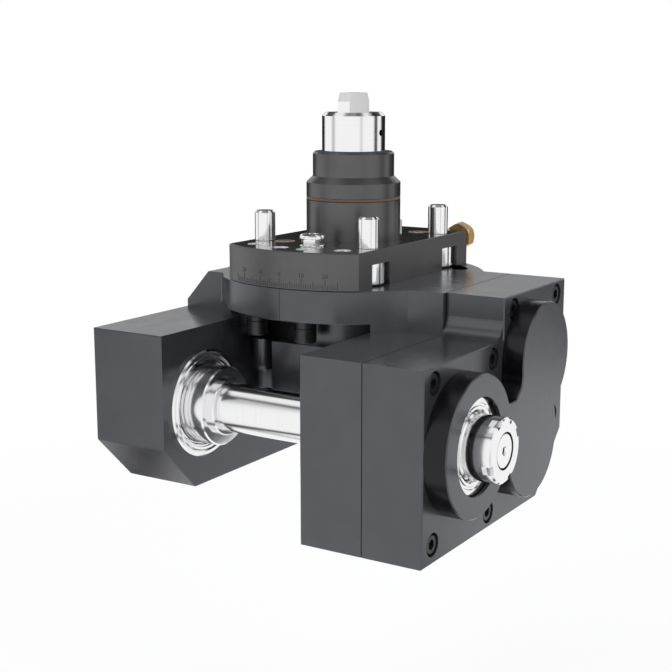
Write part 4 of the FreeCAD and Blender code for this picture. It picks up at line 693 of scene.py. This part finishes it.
def room_level(tree, way):
    """How bright the room is in a direction, as glossy rays see it."""
    turn, rise = directions(tree, way)
    gaps = add(tree, "ShaderNodeValToRGB", {"stops": shares(GAPS_ROUND, FULL_TURN)},
               {"Fac": turn}).outputs["Color"]
    layers = add(tree, "ShaderNodeValToRGB", {"stops": shares(GAPS_HIGH, FULL_RISE)},
                 {"Fac": rise}).outputs["Color"]
    behind = add(tree, "ShaderNodeMath", {"operation": "GREATER_THAN"}, {0: turn, 1: 0.5}).outputs[0]
    low = add(tree, "ShaderNodeMath", {"operation": "LESS_THAN"}, {0: rise, 1: 0.5}).outputs[0]
    behind_low = add(tree, "ShaderNodeMath", {"operation": "MULTIPLY"}, {0: behind, 1: low}).outputs[0]
    layers = add(tree, "ShaderNodeMath", {"operation": "MAXIMUM"}, {0: layers, 1: behind_low}).outputs[0]
    level = add(tree, "ShaderNodeMath", {"operation": "MULTIPLY"}, {0: gaps, 1: layers}).outputs[0]
    return add(tree, "ShaderNodeMath", {"operation": "MULTIPLY"},
               {0: level, 1: wall_level(tree, turn, rise)}).outputs[0]


print("the room has", len(GAPS_ROUND), "stops round and", len(GAPS_HIGH), "up")

# %% [markdown]
# ## Floor
# The head hangs from its shank, so the floor lies a good way below it and takes a soft shadow. A plain
# floor would show its far edge as a line, so to the camera it turns to pure white further out. To glossy
# rays it carries the same pattern as the room, so that the steel mirrors one even room.

# %% Floor
FLOOR_Z = -0.30
FLOOR_WIDE = 16.0
FADE_FROM, FADE_TO = 0.35, 0.9
NEAR_GLOW = 0.80

deselect()
bpy.ops.mesh.primitive_plane_add(size=FLOOR_WIDE, location=(0.0, 0.0, FLOOR_Z))
floor = bpy.context.object
floor.name = "floor"
settle(floor)
floor_paint, tree = start("floor_paint")
path = add(tree, "ShaderNodeLightPath")
spot = add(tree, "ShaderNodeTexCoord").outputs["Object"]
away = add(tree, "ShaderNodeVectorMath", {"operation": "LENGTH"}, {0: spot}).outputs["Value"]
matte = add(tree, "ShaderNodeBsdfDiffuse", None, {"Color": linear("#f4f4f4")})
glow = add(tree, "ShaderNodeEmission", None, {"Color": linear("#ffffff"), "Strength": 1.0})
mirrored = add(tree, "ShaderNodeEmission", None,
               {"Color": linear("#ffffff"), "Strength": room_level(tree, spot)})
far = add(tree, "ShaderNodeMapRange", {"interpolation_type": "SMOOTHSTEP"},
          {"Value": away, "From Min": FADE_FROM, "From Max": FADE_TO, "To Min": NEAR_GLOW, "To Max": 1.0})
seen = add(tree, "ShaderNodeMixShader", None, {0: far.outputs[0], 1: matte.outputs[0], 2: glow.outputs[0]})
glossy = add(tree, "ShaderNodeMixShader", None,
             {0: path.outputs["Is Glossy Ray"], 1: matte.outputs[0], 2: mirrored.outputs[0]})
direct = add(tree, "ShaderNodeMixShader", None,
             {0: path.outputs["Is Camera Ray"], 1: glossy.outputs[0], 2: seen.outputs[0]})
finish_with(tree, direct)
floor.data.materials.append(floor_paint)
print("floor at", round(FLOOR_Z / MM), "mm")

# %% [markdown]
# ## Room light
# Product photos are taken on plain white, but a world that is plain white to every ray would wash out the
# steel. So three kinds of rays see three worlds: the camera sees white, glossy rays see the room, and all
# others get an even soft light that fills the shadows.

# %% Room light
SOFT_LIGHT = 0.60

world = bpy.data.worlds.new("studio")
bpy.context.scene.world = world
world.use_nodes = True
tree = world.node_tree
tree.nodes.clear()
path = add(tree, "ShaderNodeLightPath")
way = add(tree, "ShaderNodeTexCoord").outputs["Generated"]
room = add(tree, "ShaderNodeBackground", None,
           {"Color": linear("#ffffff"), "Strength": room_level(tree, way)})
soft = add(tree, "ShaderNodeBackground", None, {"Color": linear("#f2f4f8"), "Strength": SOFT_LIGHT})
white = add(tree, "ShaderNodeBackground", None, {"Color": linear("#ffffff"), "Strength": 1.0})
shiny = add(tree, "ShaderNodeMixShader", None,
            {0: path.outputs["Is Glossy Ray"], 1: soft.outputs[0], 2: room.outputs[0]})
both = add(tree, "ShaderNodeMixShader", None,
           {0: path.outputs["Is Camera Ray"], 1: shiny.outputs[0], 2: white.outputs[0]})
add(tree, "ShaderNodeOutputWorld", None, {"Surface": both.outputs[0]})
print("soft light:", SOFT_LIGHT)

# %% [markdown]
# ## Lamps
# Three soft panels model the forms of the dark housings: a key from the left front, a fill from the right
# and one from above and behind. Small lamps would give hard shadows. The panels are hidden from glossy
# rays, because steel would show them as extra white squares.

# %% Lamps
def panel_lamp(name, place, target, wide, high, power):
    """A soft panel that faces a point. Steel doesn't mirror it, as the room's own panels do that."""
    data = bpy.data.lights.new(name, "AREA")
    data.shape = "RECTANGLE"
    data.size = wide
    data.size_y = high
    data.energy = power
    lamp = bpy.data.objects.new(name, data)
    lamp.location = place
    lamp.rotation_euler = (Vector(target) - Vector(place)).to_track_quat("-Z", "Y").to_euler()
    lamp.visible_glossy = False
    bpy.context.scene.collection.objects.link(lamp)
    return lamp


MIDDLE = (0.0, -0.04, -0.04)
lamps = [
    panel_lamp("key_panel", (-0.55, -0.75, 0.75), MIDDLE, 0.7, 0.5, 6.0),
    panel_lamp("fill_panel", (0.9, -0.15, 0.35), MIDDLE, 0.5, 0.7, 4.0),
    panel_lamp("top_panel", (0.0, 0.35, 1.0), MIDDLE, 0.8, 0.8, 5.0),
]
print("lamps:", len(lamps))

# %% [markdown]
# ## View
# Blender's own view softens bright tones. The Standard view shows a colour as it is written, which is right
# for a match with a photo.

# %% View
bpy.context.scene.view_settings.view_transform = "Standard"
